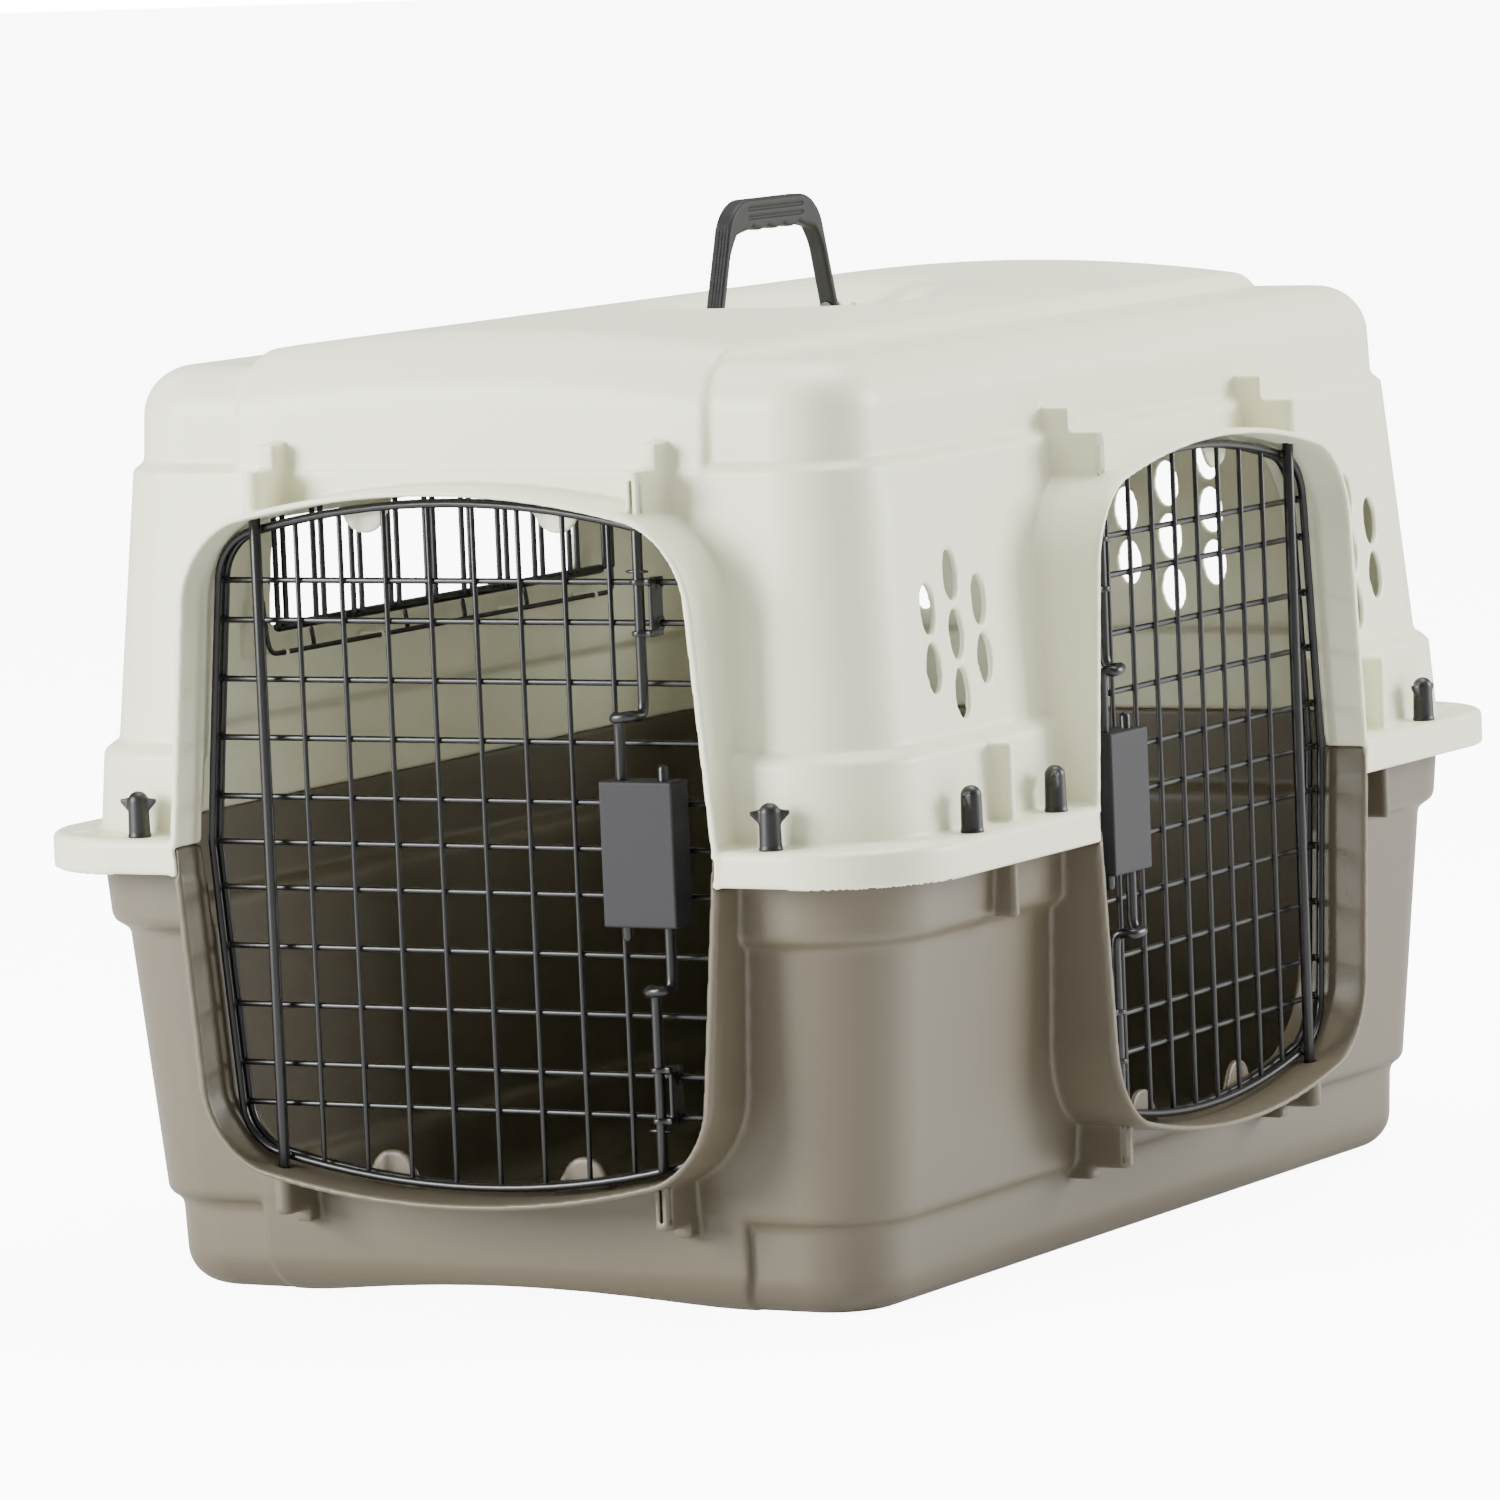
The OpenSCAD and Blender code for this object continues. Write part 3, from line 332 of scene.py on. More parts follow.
def wall(x, y, z, rows, grow=0.0):
    """Tiered wall, or its inside face when grow is the wall thickness."""
    heights, insets, corners = zip(*rows)
    out = None
    for angle in INNER_WALL_ANGLES if grow else (0,):
        lift, less = grow * math.sin(math.radians(angle)), grow * math.cos(math.radians(angle))
        inset = np.interp(z + lift, heights, insets) + less
        corner = np.maximum(np.interp(z + lift, heights, corners) - less, MIN_CORNER_R)
        d = rrect(x, y, FX - inset, FY - inset, corner) * WALL_STEEPNESS
        out = d if out is None else np.maximum(out, d)
    return out


def crown(x, drop=0.0):
    """Height of the roof's crowned panel, less drop."""
    return CROWN_Z - drop - x * x / (2 * CROWN_R)


def raised_end(y, inset, z_above, lean):
    """End face of the raised panel that runs over the roof or under the base."""
    return (np.abs(y) - (FY - inset) + z_above * lean) * 0.99


def upper_outer(x, y, z, grow=0.0):
    """Outside of the upper shell, or its inside face when grow is the wall thickness."""
    body = rmax(wall(x, y, z, UPPER_ROWS, grow), z - (ROOF_Z - grow), 24.0 - grow)
    end = rmax(raised_end(y, 40.9 + grow, z - 405.5, 0.075), z - crown(x, grow), 33.0 - grow)
    panel = rmax(end, np.abs(x) - (132.5 - grow) + np.maximum(z - 440, 0) * 0.05, 4.0)
    panel = np.maximum(panel, 392.0 - z)
    return rmin(body, panel, 2.0)


def lower_outer(x, y, z, grow=0.0):
    """Outside of the lower shell, or its inside face when grow is the wall thickness."""
    body = rmax(wall(x, y, z, LOWER_ROWS, grow), grow - z, 18.0 - grow)
    end = rmax(raised_end(y, 41.0 + grow, 47.0 - z, 0.085), grow - z, 20.0 - grow)
    panel = rmax(end, np.abs(x) - (137 - grow) + np.maximum(20 - z, 0) * 0.25, 3.0)
    panel = np.maximum(panel, z - 60.0)
    return rmin(body, panel, 1.0)


def base_arch(x, grow=0.0):
    """Height of the arched base's underside, plus grow."""
    rise, foot_x = 8.0, 112.0
    return rise + grow - rise * (x / foot_x) ** 2


# ---------------------------------------------------------------- features of the shells
def walls(x, y, z):
    """The two door walls' own coordinates: across, into the cabin, and up from the door's middle."""
    yield x, y + FY, z - DOOR_Z
    yield y - SIDE_Y, FX - x, z - DOOR_Z


def dish(x, y, z, drop=0.0):
    """Recess for the handle: negative above its floor, which is moved down by drop."""
    half_x, half_y, floor_z, depth = 88.0, 115.0, 455.5, 18.5
    flat, blend = 0.58, 0.46           # the floor is level inside flat, and rises over blend
    rho = np.hypot(x / half_x, y / half_y)
    s = np.clip((rho - flat) / blend, 0, 1)
    floor_here = floor_z + depth * s * s * (3 - 2 * s) + np.maximum(rho - flat - blend, 0) * 70
    return (floor_here - drop - z) * 0.8


def socket(u, v, w, side):
    """Rod socket on a surround, above (side 1) or below (side -1) one rod."""
    bore_wall_r, end_w, half_w = 4.8, 168, 14
    w = w * side
    plan = np.hypot(u, np.minimum(v - ROD_V, 0)) - bore_wall_r
    boss = rmax(np.maximum(plan, v - COLLAR_V), np.abs(w - end_w) - half_w, 0.8)
    step_half = (bore_wall_r, 9 if side > 0 else 7, 10 if side > 0 else 4)
    return rmin(boss, block(u, v, w, (0, 39, 184), step_half, 0.8), 0.8)


def stop(u, v, w):
    """Stop behind a door: a ramp on the surround and a half-round tab."""
    tab_r, tab_w, root_w, half_t = 12.5, 163, 160, 1.5
    w = np.abs(w)
    tab = np.maximum(np.hypot(u, w - tab_w) - tab_r, w - 172)
    ramp = np.maximum(np.abs(u) - (13 + (w - root_w) * 0.39), root_w - w)
    flat = rmax(np.minimum(tab, ramp) * 0.9, np.abs(v - 33.4) - half_t, 0.8)
    return rmax(flat, w - 173, 0.5)


def opening(d, u, v, w, side):
    """d with a wall's door opening cut and two stops added, above (side 1) or below (-1) its middle."""
    d = cut(d, np.maximum(rim(u, w, RIM_T), v - OPENING_V), 1.2)
    for s in (-STOP_U, STOP_U):
        lug = np.maximum(stop(u - s, v, w), rim(u, w, STOP_INSET))
        d = rmin(d, np.maximum(lug, -side * w), 0.8)
    return d


def sockets(d, u, v, w, side):
    """d with the sockets of a wall's hinge and latch rods."""
    for s in (-ROD_U, ROD_U):
        d = rmin(d, socket(u - s, v, w, side), 0.9)
    return d


def ribs(d, x, y, z, mid_z, half_z):
    """d with its upright ribs."""
    for rib_y in RIBS_Y:
        d = rmin(d, block(x, y, z, (0, rib_y, mid_z), (FX - 10, RIB_HALF, half_z), 0.8), 1.4)
    return d


def rod_bores(d, x, y, z):
    """d with the bores for each door's hinge rod and latch rods."""
    for hinge, (u, v, w) in zip(HINGE_SIDES, walls(x, y, z)):
        long = np.abs(w) - BORE_W
        d = cut(d, np.maximum(np.hypot(u - hinge * ROD_U, v - HINGE_V) - HINGE_BORE_R, long))
        d = cut(d, np.maximum(np.hypot(u + hinge * ROD_U, v - ROD_V) - LATCH_BORE_R, long), 0.6)
    return d


def bolt_holes(d, x, y, past):
    """d with the flange's bolt holes, which end where past becomes positive."""
    for px, py in NUTS:
        d = cut(d, np.hypot(x - px, y - py) - BOLT_HOLE_R + np.maximum(past, 0))
    return d


def vent(u, w):
    """Oval vent."""
    half_u, half_w = 6.5, 12.0
    k0 = np.hypot(u / half_u, w / half_w)
    k1 = np.hypot(u / half_u ** 2, w / half_w ** 2)
    return k0 * (k0 - 1) / np.maximum(k1, 1e-4)


def vent_cluster(d, u, w, depth):
    """d with seven vents round (0, 0): columns of two, three and two."""
    for column_u, rows in ((-26, (-0.5, 0.5)), (0, (-1, 0, 1)), (26, (-0.5, 0.5))):
        for row in rows:
            d = cut(d, np.maximum(vent(u - column_u, w - VENT_PITCH_W * row), depth), 1.2)
    return d


def back_vents(d, x, y, z):
    """d with the back end's eight columns of three vents, every second column half a pitch higher."""
    for column in range(8):
        lift = VENT_W + (VENT_PITCH_W / 2 if column % 2 else 0)
        for row in (-1, 0, 1):
            oval = vent(x - (column - 3.5) * BACK_PITCH_U, z - DOOR_Z - lift - row * VENT_PITCH_W)
            d = cut(d, np.maximum(oval, 280 - y), 1.2)
    return d


def handle_lugs(d, x, y, z):
    """d with the two lugs that carry the handle and the bore of their pins."""
    half_t, eye_r = 2, 5
    for s in (-LUG_Y, LUG_Y):
        foot = block(x, y, z, (0, s, PIVOT_Z - 5), (eye_r, half_t, 6), 1.0)
        eye = rmax(np.hypot(x, z - PIVOT_Z) - eye_r, np.abs(y - s) - half_t, 0.8)
        d = rmin(d, rmin(foot, eye, 1.0), 1.5)
    return cut(d, np.maximum(np.hypot(x, z - PIVOT_Z) - 2.1, np.abs(y) - 90))


def upper_shell(x, y, z):
    flange = rmax(rrect(x, y, FX, FY, FR), z - TOP_Z, 3.6)
    flange = np.maximum(flange, SKIRT_Z - z)
    d = rmin(cut(upper_outer(x, y, z), dish(x, y, z), 5.0), flange, 2.2)
    d = ribs(d, x, y, z, 247, 21)
    for u, v, w in walls(x, y, z):
        collar = np.maximum(rmax(rim(u, w), -v, 1.6), v - COLLAR_V)
        d = sockets(rmin(d, collar, 1.6), u, v, w, 1)
    inner = np.maximum(upper_outer(x, y, z, SKIN), -dish(x, y, z, 4.0))
    inner = np.minimum(inner, np.maximum(wall(x, y, z, UPPER_ROWS, SKIN), z - 300))
    d = np.maximum(cut(d, inner, 0.6), SKIRT_Z - z)
    for u, v, w in walls(x, y, z):
        lap = np.maximum(rim(u, w, 2.5), v - OPENING_V)
        d = cut(d, np.maximum(lap, w + (DOOR_Z - PART_Z)))
        d = opening(d, u, v, w, 1)
    d = cut(d, np.maximum(rrect(x, y, FX - 3, FY - 3, FR - 3), z - PART_Z))
    d = handle_lugs(d, x, y, z)
    d = rod_bores(d, x, y, z)
    for cluster_y in (-220, 220):
        d = vent_cluster(d, y - cluster_y, z - DOOR_Z - VENT_W, 180 - x)
    d = back_vents(d, x, y, z)
    d = cut(d, np.maximum(rrect(y, z - WINDOW_Z, *WINDOW_HALF, 4), x + 180), 1.5)
    d = bolt_holes(d, x, y, z - 235)
    corner = np.hypot(np.abs(x) - CORNER_HOLE[0], np.abs(y) - CORNER_HOLE[1]) - CORNER_HOLE_R
    return cut(d, corner + np.maximum(z - 235, 0), 0.8)


def lower_shell(x, y, z):
    lip = rmax(rrect(x, y, FX - 3.6, FY - 3.6, FR - 3.6), np.abs(z - (PART_Z - 2)) - 2, 1.0)
    d = rmin(lower_outer(x, y, z), lip, 1.5)
    d = ribs(d, x, y, z, 204, 20)
    for u, v, w in walls(x, y, z):
        low = np.maximum(rmax(rim(u, w), -v, 1.6), w + (DOOR_Z - SKIRT_Z) + 0.4)
        lap = np.maximum(rmax(rim(u, w, 2.8), -v, 0.6), z - PART_Z)
        collar = np.maximum(np.minimum(low, lap), v - COLLAR_V)
        d = sockets(rmin(d, collar, 1.6), u, v, w, -1)
    inner = np.maximum(lower_outer(x, y, z, SKIN), base_arch(x, SKIN) - z)
    inner = np.minimum(inner, np.maximum(wall(x, y, z, LOWER_ROWS, SKIN), 120 - z))
    d = cut(d, inner, 0.8)
    d = cut(d, z - base_arch(x), 2.0)
    d = np.maximum(d, z - PART_Z)
    for u, v, w in walls(x, y, z):
        d = opening(d, u, v, w, -1)
    d = rod_bores(d, x, y, z)
    return bolt_holes(d, x, y, 190 - z)


# ---------------------------------------------------------------- materials
MOTTLE_SCALE, GRAIN_SCALE, GRAIN_DEPTH = 22.0, 900.0, 0.0004


def noise_texture(tree, scale, detail):
    """Noise over the object's own coordinates."""
    where = tree.nodes.new("ShaderNodeTexCoord")
    noise = tree.nodes.new("ShaderNodeTexNoise")
    noise.inputs["Scale"].default_value = scale
    noise.inputs["Detail"].default_value = detail
    tree.links.new(where.outputs["Object"], noise.inputs["Vector"])
    return noise.outputs["Fac"]


def material(name, colour, rough, mottle=0.0, grain=0.0, metal=0.0, shine=0.5):
    """Material with a faint mottle in its colour and a fine grain."""
    m = bpy.data.materials.new(name)
    m.use_nodes = True
    tree = m.node_tree
    bsdf = tree.nodes["Principled BSDF"]
    bsdf.inputs["Base Color"].default_value = (*colour, 1)
    bsdf.inputs["Roughness"].default_value = rough
    bsdf.inputs["Metallic"].default_value = metal
    bsdf.inputs["Specular IOR Level"].default_value = shine
    if mottle:
        mix = tree.nodes.new("ShaderNodeMix")
        mix.data_type = "RGBA"
        mix.inputs["A"].default_value = (*[c * (1 - mottle) for c in colour], 1)
        mix.inputs["B"].default_value = (*[min(c * (1 + mottle), 1) for c in colour], 1)
        tree.links.new(noise_texture(tree, MOTTLE_SCALE, 3.0), mix.inputs["Factor"])
        tree.links.new(mix.outputs["Result"], bsdf.inputs["Base Color"])
    if grain:
        bump = tree.nodes.new("ShaderNodeBump")
        bump.inputs["Strength"].default_value = grain
        bump.inputs["Distance"].default_value = GRAIN_DEPTH
        tree.links.new(noise_texture(tree, GRAIN_SCALE, 2.0), bump.inputs["Height"])
        tree.links.new(bump.outputs["Normal"], bsdf.inputs["Normal"])
    return m


def srgb(r, g, b):
    """Linear colour of an 8-bit screen colour."""
    return tuple(((c / 255 + 0.055) / 1.055) ** 2.4 if c > 10 else c / 255 / 12.92 for c in (r, g, b))


CREAM = material("cream_plastic", srgb(222, 221, 194), 0.40, mottle=0.012, grain=0.08)
TAUPE = material("taupe_plastic", srgb(90, 83, 67), 0.45, mottle=0.02, grain=0.10)
WIRE = material("black_coated_wire", srgb(9, 9, 10), 0.34, mottle=0.1, grain=0.05)
LATCH = material("latch_plastic", srgb(26, 26, 29), 0.62, mottle=0.03, grain=0.12, shine=0.35)
HANDLE = material("handle_plastic", srgb(18, 18, 19), 0.6, mottle=0.04, grain=0.15, shine=0.3)
NUT = material("nut_plastic", srgb(9, 9, 10), 0.45, mottle=0.1, grain=0.04)
STEEL = material("zinc_steel", srgb(170, 170, 166), 0.3, mottle=0.04, grain=0.1, metal=1.0)
FINISH = {"upper_plastic": CREAM, "lower_plastic": TAUPE, "black_wire": WIRE, "latch_plastic": LATCH,
          "handle_plastic": HANDLE, "nut_plastic": NUT, "spring_steel": STEEL}


def dress(obj, slot, body, node):
    """Gives a piece its finish and its body, and hides the CAD node that it stands for."""
    obj.data.materials.append(FINISH[slot])
    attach(obj, body)
    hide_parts(node)


slots = {s["node"]: s["material_slot"] for s in frame["record"]["subparts"]}
for name, obj in frame["nodes"].items():
    mat = FINISH[slots[name]]
    if not obj.material_slots:
        obj.data.materials.append(mat)
    for s in obj.material_slots:
        s.material = mat


def moulding(label, field, lo, hi, step, slot, body, node):
    """A piece made from one field, in the frame's own place."""
    dress(mesh_from(label, *surface_net(field, lo, hi, step)), slot, body, node)


SHELL_STEP = 1.5
moulding("moulded_upper_shell", upper_shell, (-256, -356, 206), (256, 356, 480), SHELL_STEP,
         "upper_plastic", "shell", "upper_shell")
moulding("moulded_lower_shell", lower_shell, (-256, -356, -6), (256, 356, 232), SHELL_STEP,
         "lower_plastic", "shell", "lower_shell")


# ---------------------------------------------------------------- doors
FRONT, SIDE = "front", "side"
LEVELS = (128.3, 108.8, 79.9, 51.2, 22.3, 0, -22.3, -51.2, -79.9, -108.8, -128.3)
UPRIGHTS = tuple((k - 3.5) * 25.0 for k in range(8))
LOOP_R, LEVEL_R, UPRIGHT_R, HINGE_ROD_R, LATCH_ROD_R = 2.0, 1.5, 1.3, 2.8, 2.6
# Outer loop: half widths at the middle and at the ends, and the radii of its corners and arches
MID_W, END_W, CORNER_R, ARCH_R = 143.0, 132.2, 26.0, 470.0
CORNER_X, CORNER_Z = END_W - CORNER_R, 127.0
ARCH_A = math.asin(CORNER_X / (ARCH_R - CORNER_R))
ARCH_Z = CORNER_Z - (ARCH_R - CORNER_R) * math.cos(ARCH_A)
JOG, JOG_V, CRANK_W = 11.5, 13.0, 66.0   # a latch rod's inner length: across, depth, and its crank's height


def placed(name, verts):
    """Points of a door's own frame (across, into the cabin, up) in the CAD frame, in mm."""
    v = np.asarray(verts, float)
    if name == FRONT:
        return np.stack([v[:, 0], v[:, 1] - FY, v[:, 2] + DOOR_Z], 1)
    return np.stack([FX - v[:, 1], SIDE_Y - v[:, 0], DOOR_Z - v[:, 2]], 1)


def door_piece(name, label, parts, slot, body, node):
    """One piece of a door from its parts in the door's own frame."""
    verts, faces = joined(parts)
    dress(mesh_from(f"{name}_{label}", placed(name, verts), faces), slot, body, node)


def half_width(z):
    """Half width of the outer loop at height z on its leaning sides."""
    straight, lean_height = 4, 124
    return MID_W - (MID_W - END_W) * max(abs(z) - straight, 0) / lean_height


def arch_height(u):
    """Height of the outer loop's arch above the door's middle."""
    return ARCH_Z + math.sqrt(ARCH_R ** 2 - u * u)


def outer_loop(v):
    """Closed centre line of one wire loop at depth v."""
    corner_end = 90 - math.degrees(ARCH_A)
    quarter = [(MID_W, 0.0), (MID_W - 0.5, 6.0)] + [(half_width(z), z) for z in (40, 80, 110)]
    for a in np.radians(np.linspace(5, corner_end, 9)):
        quarter.append((CORNER_X + CORNER_R * math.cos(a), CORNER_Z + CORNER_R * math.sin(a)))
    for a in np.radians(np.linspace(corner_end + 2, 90, 8)):
        quarter.append((ARCH_R * math.cos(a), ARCH_Z + ARCH_R * math.sin(a)))
    top, right = quarter[-1], quarter[:-1]
    path = right + [top] + [(-x, z) for x, z in right[::-1]]
    path += [(-x, -z) for x, z in right[1:]] + [(0, -top[1])] + [(x, -z) for x, z in right[:0:-1]]
    return [(x, v, z) for x, z in path]


def latch_rod_path(way):
    """Centre line of a latch rod: way is 1 for the one that goes up in the front door's frame."""
    jog, z = ROD_U - way * JOG, way * CRANK_W
    top, low = np.array([ROD_U, ROD_V, z + way * 7]), np.array([jog, JOG_V, z - way * 8])
    outer, inner = np.array([ROD_U - way, ROD_V - 9, z]), np.array([jog + way, ROD_V - 10, z - way])
    top_bend, low_bend = np.array([ROD_U, ROD_V, z - way]), np.array([jog, JOG_V, z])
    return np.vstack([
        [(ROD_U, ROD_V, way * 155.2), (ROD_U, ROD_V, way * 100.0)],
        bezier(top, top_bend, top_bend + (0, -3, 0), outer)[:-1],
        bezier(outer, outer + (-way * 2.5, -1.6, 0), inner + (way * 2.5, -1.6, 0), inner)[:-1],
        bezier(inner, low_bend + (0, -3, 0), low_bend, low),
        [(jog, JOG_V, 0.0), (jog, JOG_V, -way * 43.0)]])


def rod_label(name, way):
    """Name of the rod that goes up (1) or down (-1) in a door's own frame; the side door is turned over."""
    return "upper" if (way == 1) == (name == FRONT) else "lower"


def door_wires(name):
    """Outer loops, level and upright wires and hinge rod, with their welds."""
    body = f"{name}_door"
    parts = [tube(outer_loop(v), LOOP_R, closed=True) for v in (WIRE_V - 3.4, WIRE_V + 3.4)]
    door_piece(name, "door_outer_loops", parts, "black_wire", body, f"{name}_door_frame")
    parts = []
    for z in LEVELS:
        end = half_width(z) + 4
        parts.append(bar((-end, WIRE_V, z), (end, WIRE_V, z), LEVEL_R))
        parts += [blob((s * half_width(z), WIRE_V, z), (2.6, 3.2, 1.9)) for s in (-1, 1)]
    door_piece(name, "door_level_bars", parts, "black_wire", body, f"{name}_door_level_wires")
    parts = []
    for u in UPRIGHTS:
        v, end = WIRE_V - 2.2, arch_height(u)
        parts.append(bar((u, v, -end), (u, v, end), UPRIGHT_R))
        parts += [blob((u, WIRE_V - 1.2, z), (1.7, 1.6, 1.9)) for z in LEVELS]
    door_piece(name, "door_upright_bars", parts, "black_wire", body, f"{name}_door_upright_wires")
    parts = [bar((-ROD_U, HINGE_V, -176), (-ROD_U, HINGE_V, 176), HINGE_ROD_R, 16)]
    parts += [blob((-ROD_U, HINGE_V + 2.9, s * arch_height(-ROD_U)), (2.6, 1.8, 2.4)) for s in (-1, 1)]
    door_piece(name, "hinge_bar", parts, "black_wire", body, f"{name}_hinge_rod")


def latch_rods(name):
    """The two latch rods, each with a cross pin near its tip and a flange for its spring."""
    for way in (1, -1):
        label = rod_label(name, way)
        jog = ROD_U - way * JOG
        flange = [(jog, JOG_V, way * 12 + dz) for dz in (-1, 0, 1)]
        parts = [tube(latch_rod_path(way), LATCH_ROD_R, 16),
                 blob((ROD_U - 0.6, ROD_V, way * 134), (6.6, 1.3, 1.1)),
                 tube(flange, 5.0, 20, ends=False)]
        door_piece(name, f"{label}_latch_bar", parts, "black_wire", f"{name}_{label}_latch",
                   f"{name}_{label}_latch_rod")


for name in (FRONT, SIDE):
    door_wires(name)
    latch_rods(name)

# ---------------------------------------------------------------- window guard
GUARD_X, GUARD_Z, GUARD_LOW_Z, GUARD_HALF = -202, 382, 303, 165
SILL_X, SILL_Z, SILL_R = -203.5, 316, 2.5
LOW_WIRE_R = 1.3


def guard_piece(label, parts, slot, node):
    dress(mesh_from(label, *joined(parts)), slot, "shell", node)


def guard_uprights():
    """Top wire with ten pairs of upright wires welded to it."""
    parts = [bar((GUARD_X, -GUARD_HALF - 8, GUARD_Z), (GUARD_X, GUARD_HALF + 8, GUARD_Z), LEVEL_R)]
    for pair in range(10):
        for dy in (-4, 4):
            y = -GUARD_HALF + 2 * GUARD_HALF * pair / 9 + dy
            parts.append(bar((GUARD_X + 2.6, y, SILL_Z), (GUARD_X + 2.6, y, GUARD_Z + 1.5), LEVEL_R))
            parts.append(blob((GUARD_X + 1, y, GUARD_Z), (1.6, 1.9, 1.7)))
    return parts


def guard_low_wire():
    """Thin wire below the sill rod, its ends bent up to the rod, with five hooks on it."""
    x, z = GUARD_X, GUARD_LOW_Z
    start, end = [bezier((x, s * 166, z), (x, s * 174, z), (x - 1, s * 175, z + 2), (x - 2.5, s * 175, 331))
                  for s in (-1, 1)]
    parts = [tube(np.vstack([start[::-1], [(x, -60, z), (x, 60, z)], end]), LOW_WIRE_R, 12)]
    for y in (-130, -100, -38, 20, 84):
        hook = bezier((x, y - 5, z), (x - 0.6, y + 1, z), (x - 2, y + 1, z + 3), (x - 2.4, y, z + 10.4))
        parts.append(tube(hook, LOW_WIRE_R - 0.1, 12))
    return parts


def saddle(y0, z, reach, hole):
    """Small lug that carries a guard wire: reach is from the wire to the wall, hole the wire's seat."""
    def field(x, y, w):
        seat = np.hypot(x - GUARD_X, w - z)
        stem = np.maximum(np.abs(w - z) - hole * 0.9, np.maximum(x - GUARD_X, GUARD_X - reach - x))
        d = rmax(rmin(seat - hole - 0.8, stem, 0.8), np.abs(y - y0 - 2.5) - 1.3, 0.5)
        return cut(d, seat - hole, 0.2)
    lo, hi = (GUARD_X - 2 - reach, y0 - 1, z - 5), (GUARD_X + 5, y0 + 6, z + 5)
    return surface_net(field, lo, hi, 0.5)


guard_piece("guard_uprights", guard_uprights(), "black_wire", "window_grille_wires")
guard_piece("guard_sill_bar", [bar((SILL_X, -GUARD_HALF, SILL_Z), (SILL_X, GUARD_HALF, SILL_Z), SILL_R, 18)],
            "black_wire", "window_sill_rod")
guard_piece("guard_low_wire", guard_low_wire(), "black_wire", "window_lower_wire")
guard_piece("guard_saddles", [saddle(y, z, reach, hole) for y in (-162, -69, 70, 150)
                              for z, reach, hole in ((GUARD_LOW_Z, 12.6, 1.35), (GUARD_Z, 6.0, 1.55))],
            "upper_plastic", "window_clips")

# ---------------------------------------------------------------- latch covers and rod guides
WIRE_SEAT_R = 1.55                     # seat of a level wire in a rear cover or a guide
FINE_STEP = 0.6
GUIDE_STEP = FINE_STEP * 0.7


def housing(u, v, w):
    """Latch cover: front face, sides and ends, a web inside, open towards the wires."""
    u = u - ROD_U
    d = block(u, v, w, (0, 13.25, 0), (20, 8.25, 35), 0.7)
    d = cut(d, block(u, v, w, (0, 17, 0), (18, 10, 33), 0.8), 0.3)
    for s in (-JOG, JOG):
        d = cut(d, np.hypot(u - s, v - JOG_V) - 2.85, 0.4)
    return rmin(d, block(u, v, w, (0, 12, 0), (0.8, 5.5, 33.5), 0.2), 0.5)


def back_plate(u, v, w):
    """Rear cover with hooks round the three middle wires."""
    u = u - ROD_U
    d = block(u, v, w, (0, 20.4, 0), (17.8, 1.1, 32.8), 0.5)
    for z in (-22.3, 0, 22.3):
        d = rmin(d, block(u, v, w, (0, 24.8, z), (9, 4.2, 3.5), 0.7), 0.8)
        d = cut(d, np.hypot(v - WIRE_V, w - z) - WIRE_SEAT_R, 0.2)
    return d


def guide(u, v, w):
    """Bracket on the two end wires, for the rod that goes up."""
    u = u - ROD_U
    d = None
    for z in (129.0, 104.5):
        ring = rmax(np.hypot(u, v - ROD_V) - 4.1, np.abs(w - z) - 1.2, 0.4)
        ring = rmin(ring, block(u, v, w, (3.5, ROD_V + 2, z), (3.5, 4, 1.5), 0.5), 0.8)
        d = ring if d is None else np.minimum(d, ring)
    d = rmin(d, block(u, v, w, (5.8, ROD_V + 5.5, 116.75), (1.0, 5.5, 13.75), 0.4), 0.8)
    for z in LEVELS[:2]:
        d = rmin(d, block(u, v, w, (5.4, WIRE_V - 0.8, z), (2.0, 3.2, 2.7), 0.6), 0.8)
        d = cut(d, np.hypot(v - WIRE_V, w - z) - WIRE_SEAT_R, 0.2)
    return cut(d, np.hypot(u, v - ROD_V) - 2.7, 0.2)


for name in (FRONT, SIDE):
    body = f"{name}_door"
    parts = [surface_net(housing, (85, 2, -37), (129, 24, 37), FINE_STEP)]
    door_piece(name, "latch_cover", parts, "latch_plastic", body, f"{name}_latch_housing")
    parts = [surface_net(back_plate, (87, 17, -35), (127, 31, 35), FINE_STEP)]
    door_piece(name, "latch_rear_cover", parts, "latch_plastic", body, f"{name}_latch_back_plate")
    verts, faces = surface_net(guide, (99, 9, 101), (117, 31, 133), GUIDE_STEP)
    for way in (1, -1):
        label = rod_label(name, way)
        parts = [(verts * (1, 1, way), faces if way == 1 else faces[:, ::-1])]
        door_piece(name, f"{label}_bar_guide", parts, "black_wire", body, f"{name}_{label}_rod_guide")


# ---------------------------------------------------------------- handle and wing nuts
HANDLE_LEAN, HANDLE_HEIGHT, HANDLE_HALF_T = 0.3115, 61.0, 4.75
LEG_OUT_Y, LEG_IN_Y = 63.5, 58.3       # outside and inside of the legs at the pivot
GRIP_W, SCALLOP_DEPTH, SCALLOP_PITCH = 47.0, 2.2, 16.5
NUT_TURNS = (8, 30, 95, 115, 80, 37, 140, 100, 15, 60, 120)


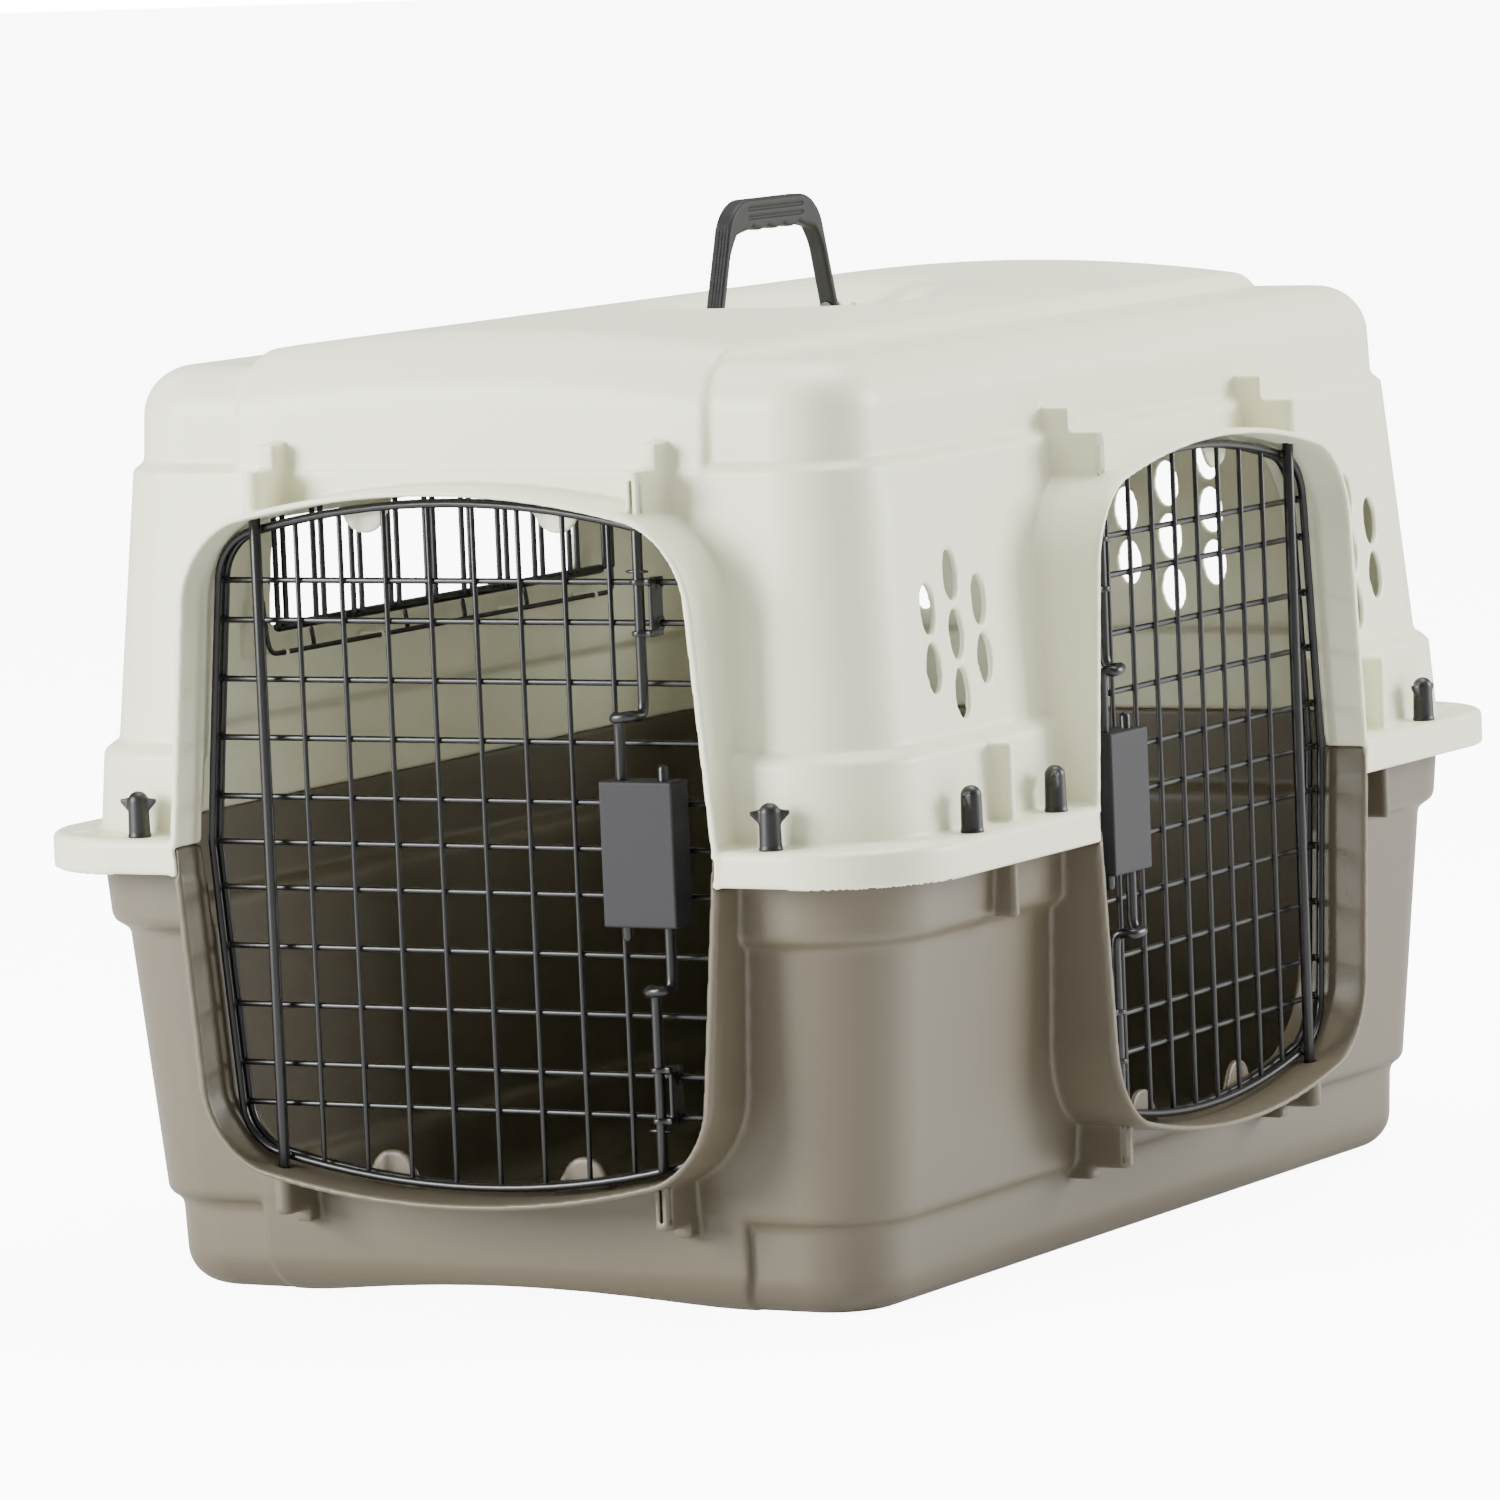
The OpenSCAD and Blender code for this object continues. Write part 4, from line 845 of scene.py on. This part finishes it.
def handle_field(x, y, z):
    """Handle: leaning legs, rounded corners, grip with scallops below and grooves on both sides."""
    w = z - PIVOT_Z
    q = np.abs(y)
    upright = 1 / math.hypot(1, HANDLE_LEAN)
    side = np.maximum((q - (LEG_OUT_Y - HANDLE_LEAN * w)) * upright, q - LEG_OUT_Y)
    scallop = GRIP_W - SCALLOP_DEPTH * np.abs(np.cos(q * math.pi / SCALLOP_PITCH))
    inner = np.maximum((q - (LEG_IN_Y - HANDLE_LEAN * w)) * upright, q - LEG_IN_Y)
    inner = rmax(inner, (w - scallop) * 0.93, 13.0)
    flat = np.maximum(cut(rmax(side, w - HANDLE_HEIGHT, 16.0), inner, 1.2), -w)
    d = rmax(flat, np.abs(x) - HANDLE_HALF_T, 2.0)
    eye = rmax(np.hypot(x, w) - HANDLE_HALF_T, np.abs(q - 61.0) - 2.5, 0.8)
    d = rmin(d, eye, 0.8)
    for groove_w in (56.0, 51.5):
        d = cut(d, pill(np.abs(x) - 4.9, y, w - groove_w, 28.0, 1.0), 0.5)
    for groove_x in (-2.7, -0.9, 0.9, 2.7):
        groove = np.hypot(x - groove_x, side + 0.1) - 0.55
        d = cut(d, np.maximum(np.maximum(groove, 4 - w), w - 52), 0.2)
    return cut(d, np.maximum(np.hypot(x, w) - 2.08, q - 70), 0.2)


def wing_nut(x, y, z):
    """Moulded nut: tapered body with a domed top and two rounded wings."""
    rho = np.hypot(x, y)
    body = rmax(rho - (5.4 - 0.4 * z / 20), z - 22.6, 4.8)
    reach = np.abs(x)
    wing = np.maximum(z - 20.2 + 0.15 * reach, (12.5 + 1.05 * (reach - 5.0) - z) * 0.7)
    wing = rmax(np.maximum(wing, reach - 9.4), np.abs(y) - (1.9 - 0.07 * reach), 0.9)
    d = rmin(body, wing, 0.8)
    d = rmin(d, rmax(rho - 5.6, z - 1.4, 0.6), 0.8)
    return cut(np.maximum(d, -z), np.maximum(rho - 2.58, z - 15))


moulding("carry_handle", handle_field, (-7, -68, 454), (7, 68, 525), 0.55,
         "handle_plastic", "handle", "handle")
nut_verts, nut_faces = surface_net(wing_nut, (-11, -7, -1), (11, 7, 24), 0.45)
for number, (place, turn) in enumerate(zip(NUTS, NUT_TURNS), 1):
    c, s = math.cos(math.radians(turn)), math.sin(math.radians(turn))
    verts = nut_verts.dot(np.array([[c, s, 0], [-s, c, 0], [0, 0, 1]])) + (*place, TOP_Z)
    nut = mesh_from(f"moulded_wing_nut_{number:02d}", verts, nut_faces)
    dress(nut, "nut_plastic", "shell", f"wing_nut_{number:02d}")


# ---------------------------------------------------------------- stage, light and camera (metres)
def seen_brighter(tree, camera_strength, strength):
    """Strength that the camera sees, apart from the one that lights the scene."""
    ray = tree.nodes.new("ShaderNodeLightPath")
    mix = tree.nodes.new("ShaderNodeMix")
    mix.inputs["A"].default_value, mix.inputs["B"].default_value = strength, camera_strength
    tree.links.new(ray.outputs["Is Camera Ray"], mix.inputs["Factor"])
    return mix.outputs["Result"]


def studio_floor(half=30):
    """White floor that looks as bright as the backdrop to the camera."""
    mesh = bpy.data.meshes.new("studio_floor")
    mesh.from_pydata([(-half, -half, 0), (half, -half, 0), (half, half, 0), (-half, half, 0)],
                     [], [(0, 1, 2, 3)])
    floor = bpy.data.objects.new("studio_floor", mesh)
    bpy.context.scene.collection.objects.link(floor)
    paper = material("studio_floor", (0.88, 0.88, 0.88), 0.7, grain=0.02)
    glow = paper.node_tree.nodes["Principled BSDF"]
    glow.inputs["Emission Color"].default_value = (1, 1, 1, 1)
    paper.node_tree.links.new(seen_brighter(paper.node_tree, 9.0, 0.0), glow.inputs["Emission Strength"])
    mesh.materials.append(paper)
    floor.location.z = -0.0002         # just under the feet
    return floor


def studio_world():
    """White surroundings that light the scene far less than the camera sees."""
    world = bpy.data.worlds.new("studio")
    bpy.context.scene.world = world
    world.use_nodes = True
    backdrop = world.node_tree.nodes["Background"]
    backdrop.inputs["Color"].default_value = (1, 1, 1, 1)
    world.node_tree.links.new(seen_brighter(world.node_tree, 16.0, 0.45), backdrop.inputs["Strength"])


def softbox(name, power, side, at, to):
    """Square area light of a power in watts and a side in metres."""
    data = bpy.data.lights.new(name, "AREA")
    data.energy, data.size = power, side
    obj = bpy.data.objects.new(name, data)
    bpy.context.scene.collection.objects.link(obj)
    obj.location = at
    obj.rotation_mode = "QUATERNION"
    obj.rotation_quaternion = (Vector(to) - Vector(at)).to_track_quat("-Z", "Y")


def studio_camera():
    """Camera to the right of the front end, a little above its middle and turned slightly on its axis."""
    azimuth, elevation, roll = math.radians(29.411), math.radians(5.7733), math.radians(-2.3814)
    aim, distance, shift_right, shift_up = Vector((0, 0.009, 0.227)), 4.7156, -0.0256, 0.0103
    back = Vector((math.sin(azimuth) * math.cos(elevation), -math.cos(azimuth) * math.cos(elevation),
                   math.sin(elevation)))
    level = Vector((math.cos(azimuth), math.sin(azimuth), 0))
    upward = back.cross(level)
    right = level * math.cos(roll) + upward * math.sin(roll)
    up = upward * math.cos(roll) - level * math.sin(roll)
    place = aim + back * distance + right * shift_right + up * shift_up
    camera = bpy.data.objects.new("camera", bpy.data.cameras.new("camera"))
    bpy.context.scene.collection.objects.link(camera)
    camera.data.sensor_width, camera.data.lens, camera.data.clip_end = 36.0, 220.4, 100
    camera.matrix_world = Matrix([*zip(right, up, back, place), (0, 0, 0, 1)])
    bpy.context.scene.camera = camera


studio_floor()
studio_world()
softbox("front_softbox", 330, 1.6, (-2.2, -3.0, 1.3), (0, 0, 0.25))
softbox("side_softbox", 230, 1.6, (3.0, 2.2, 1.3), (0, 0, 0.25))
softbox("top_softbox", 130, 1.8, (0.2, 0.3, 2.9), (0, 0, 0.3))
studio_camera()
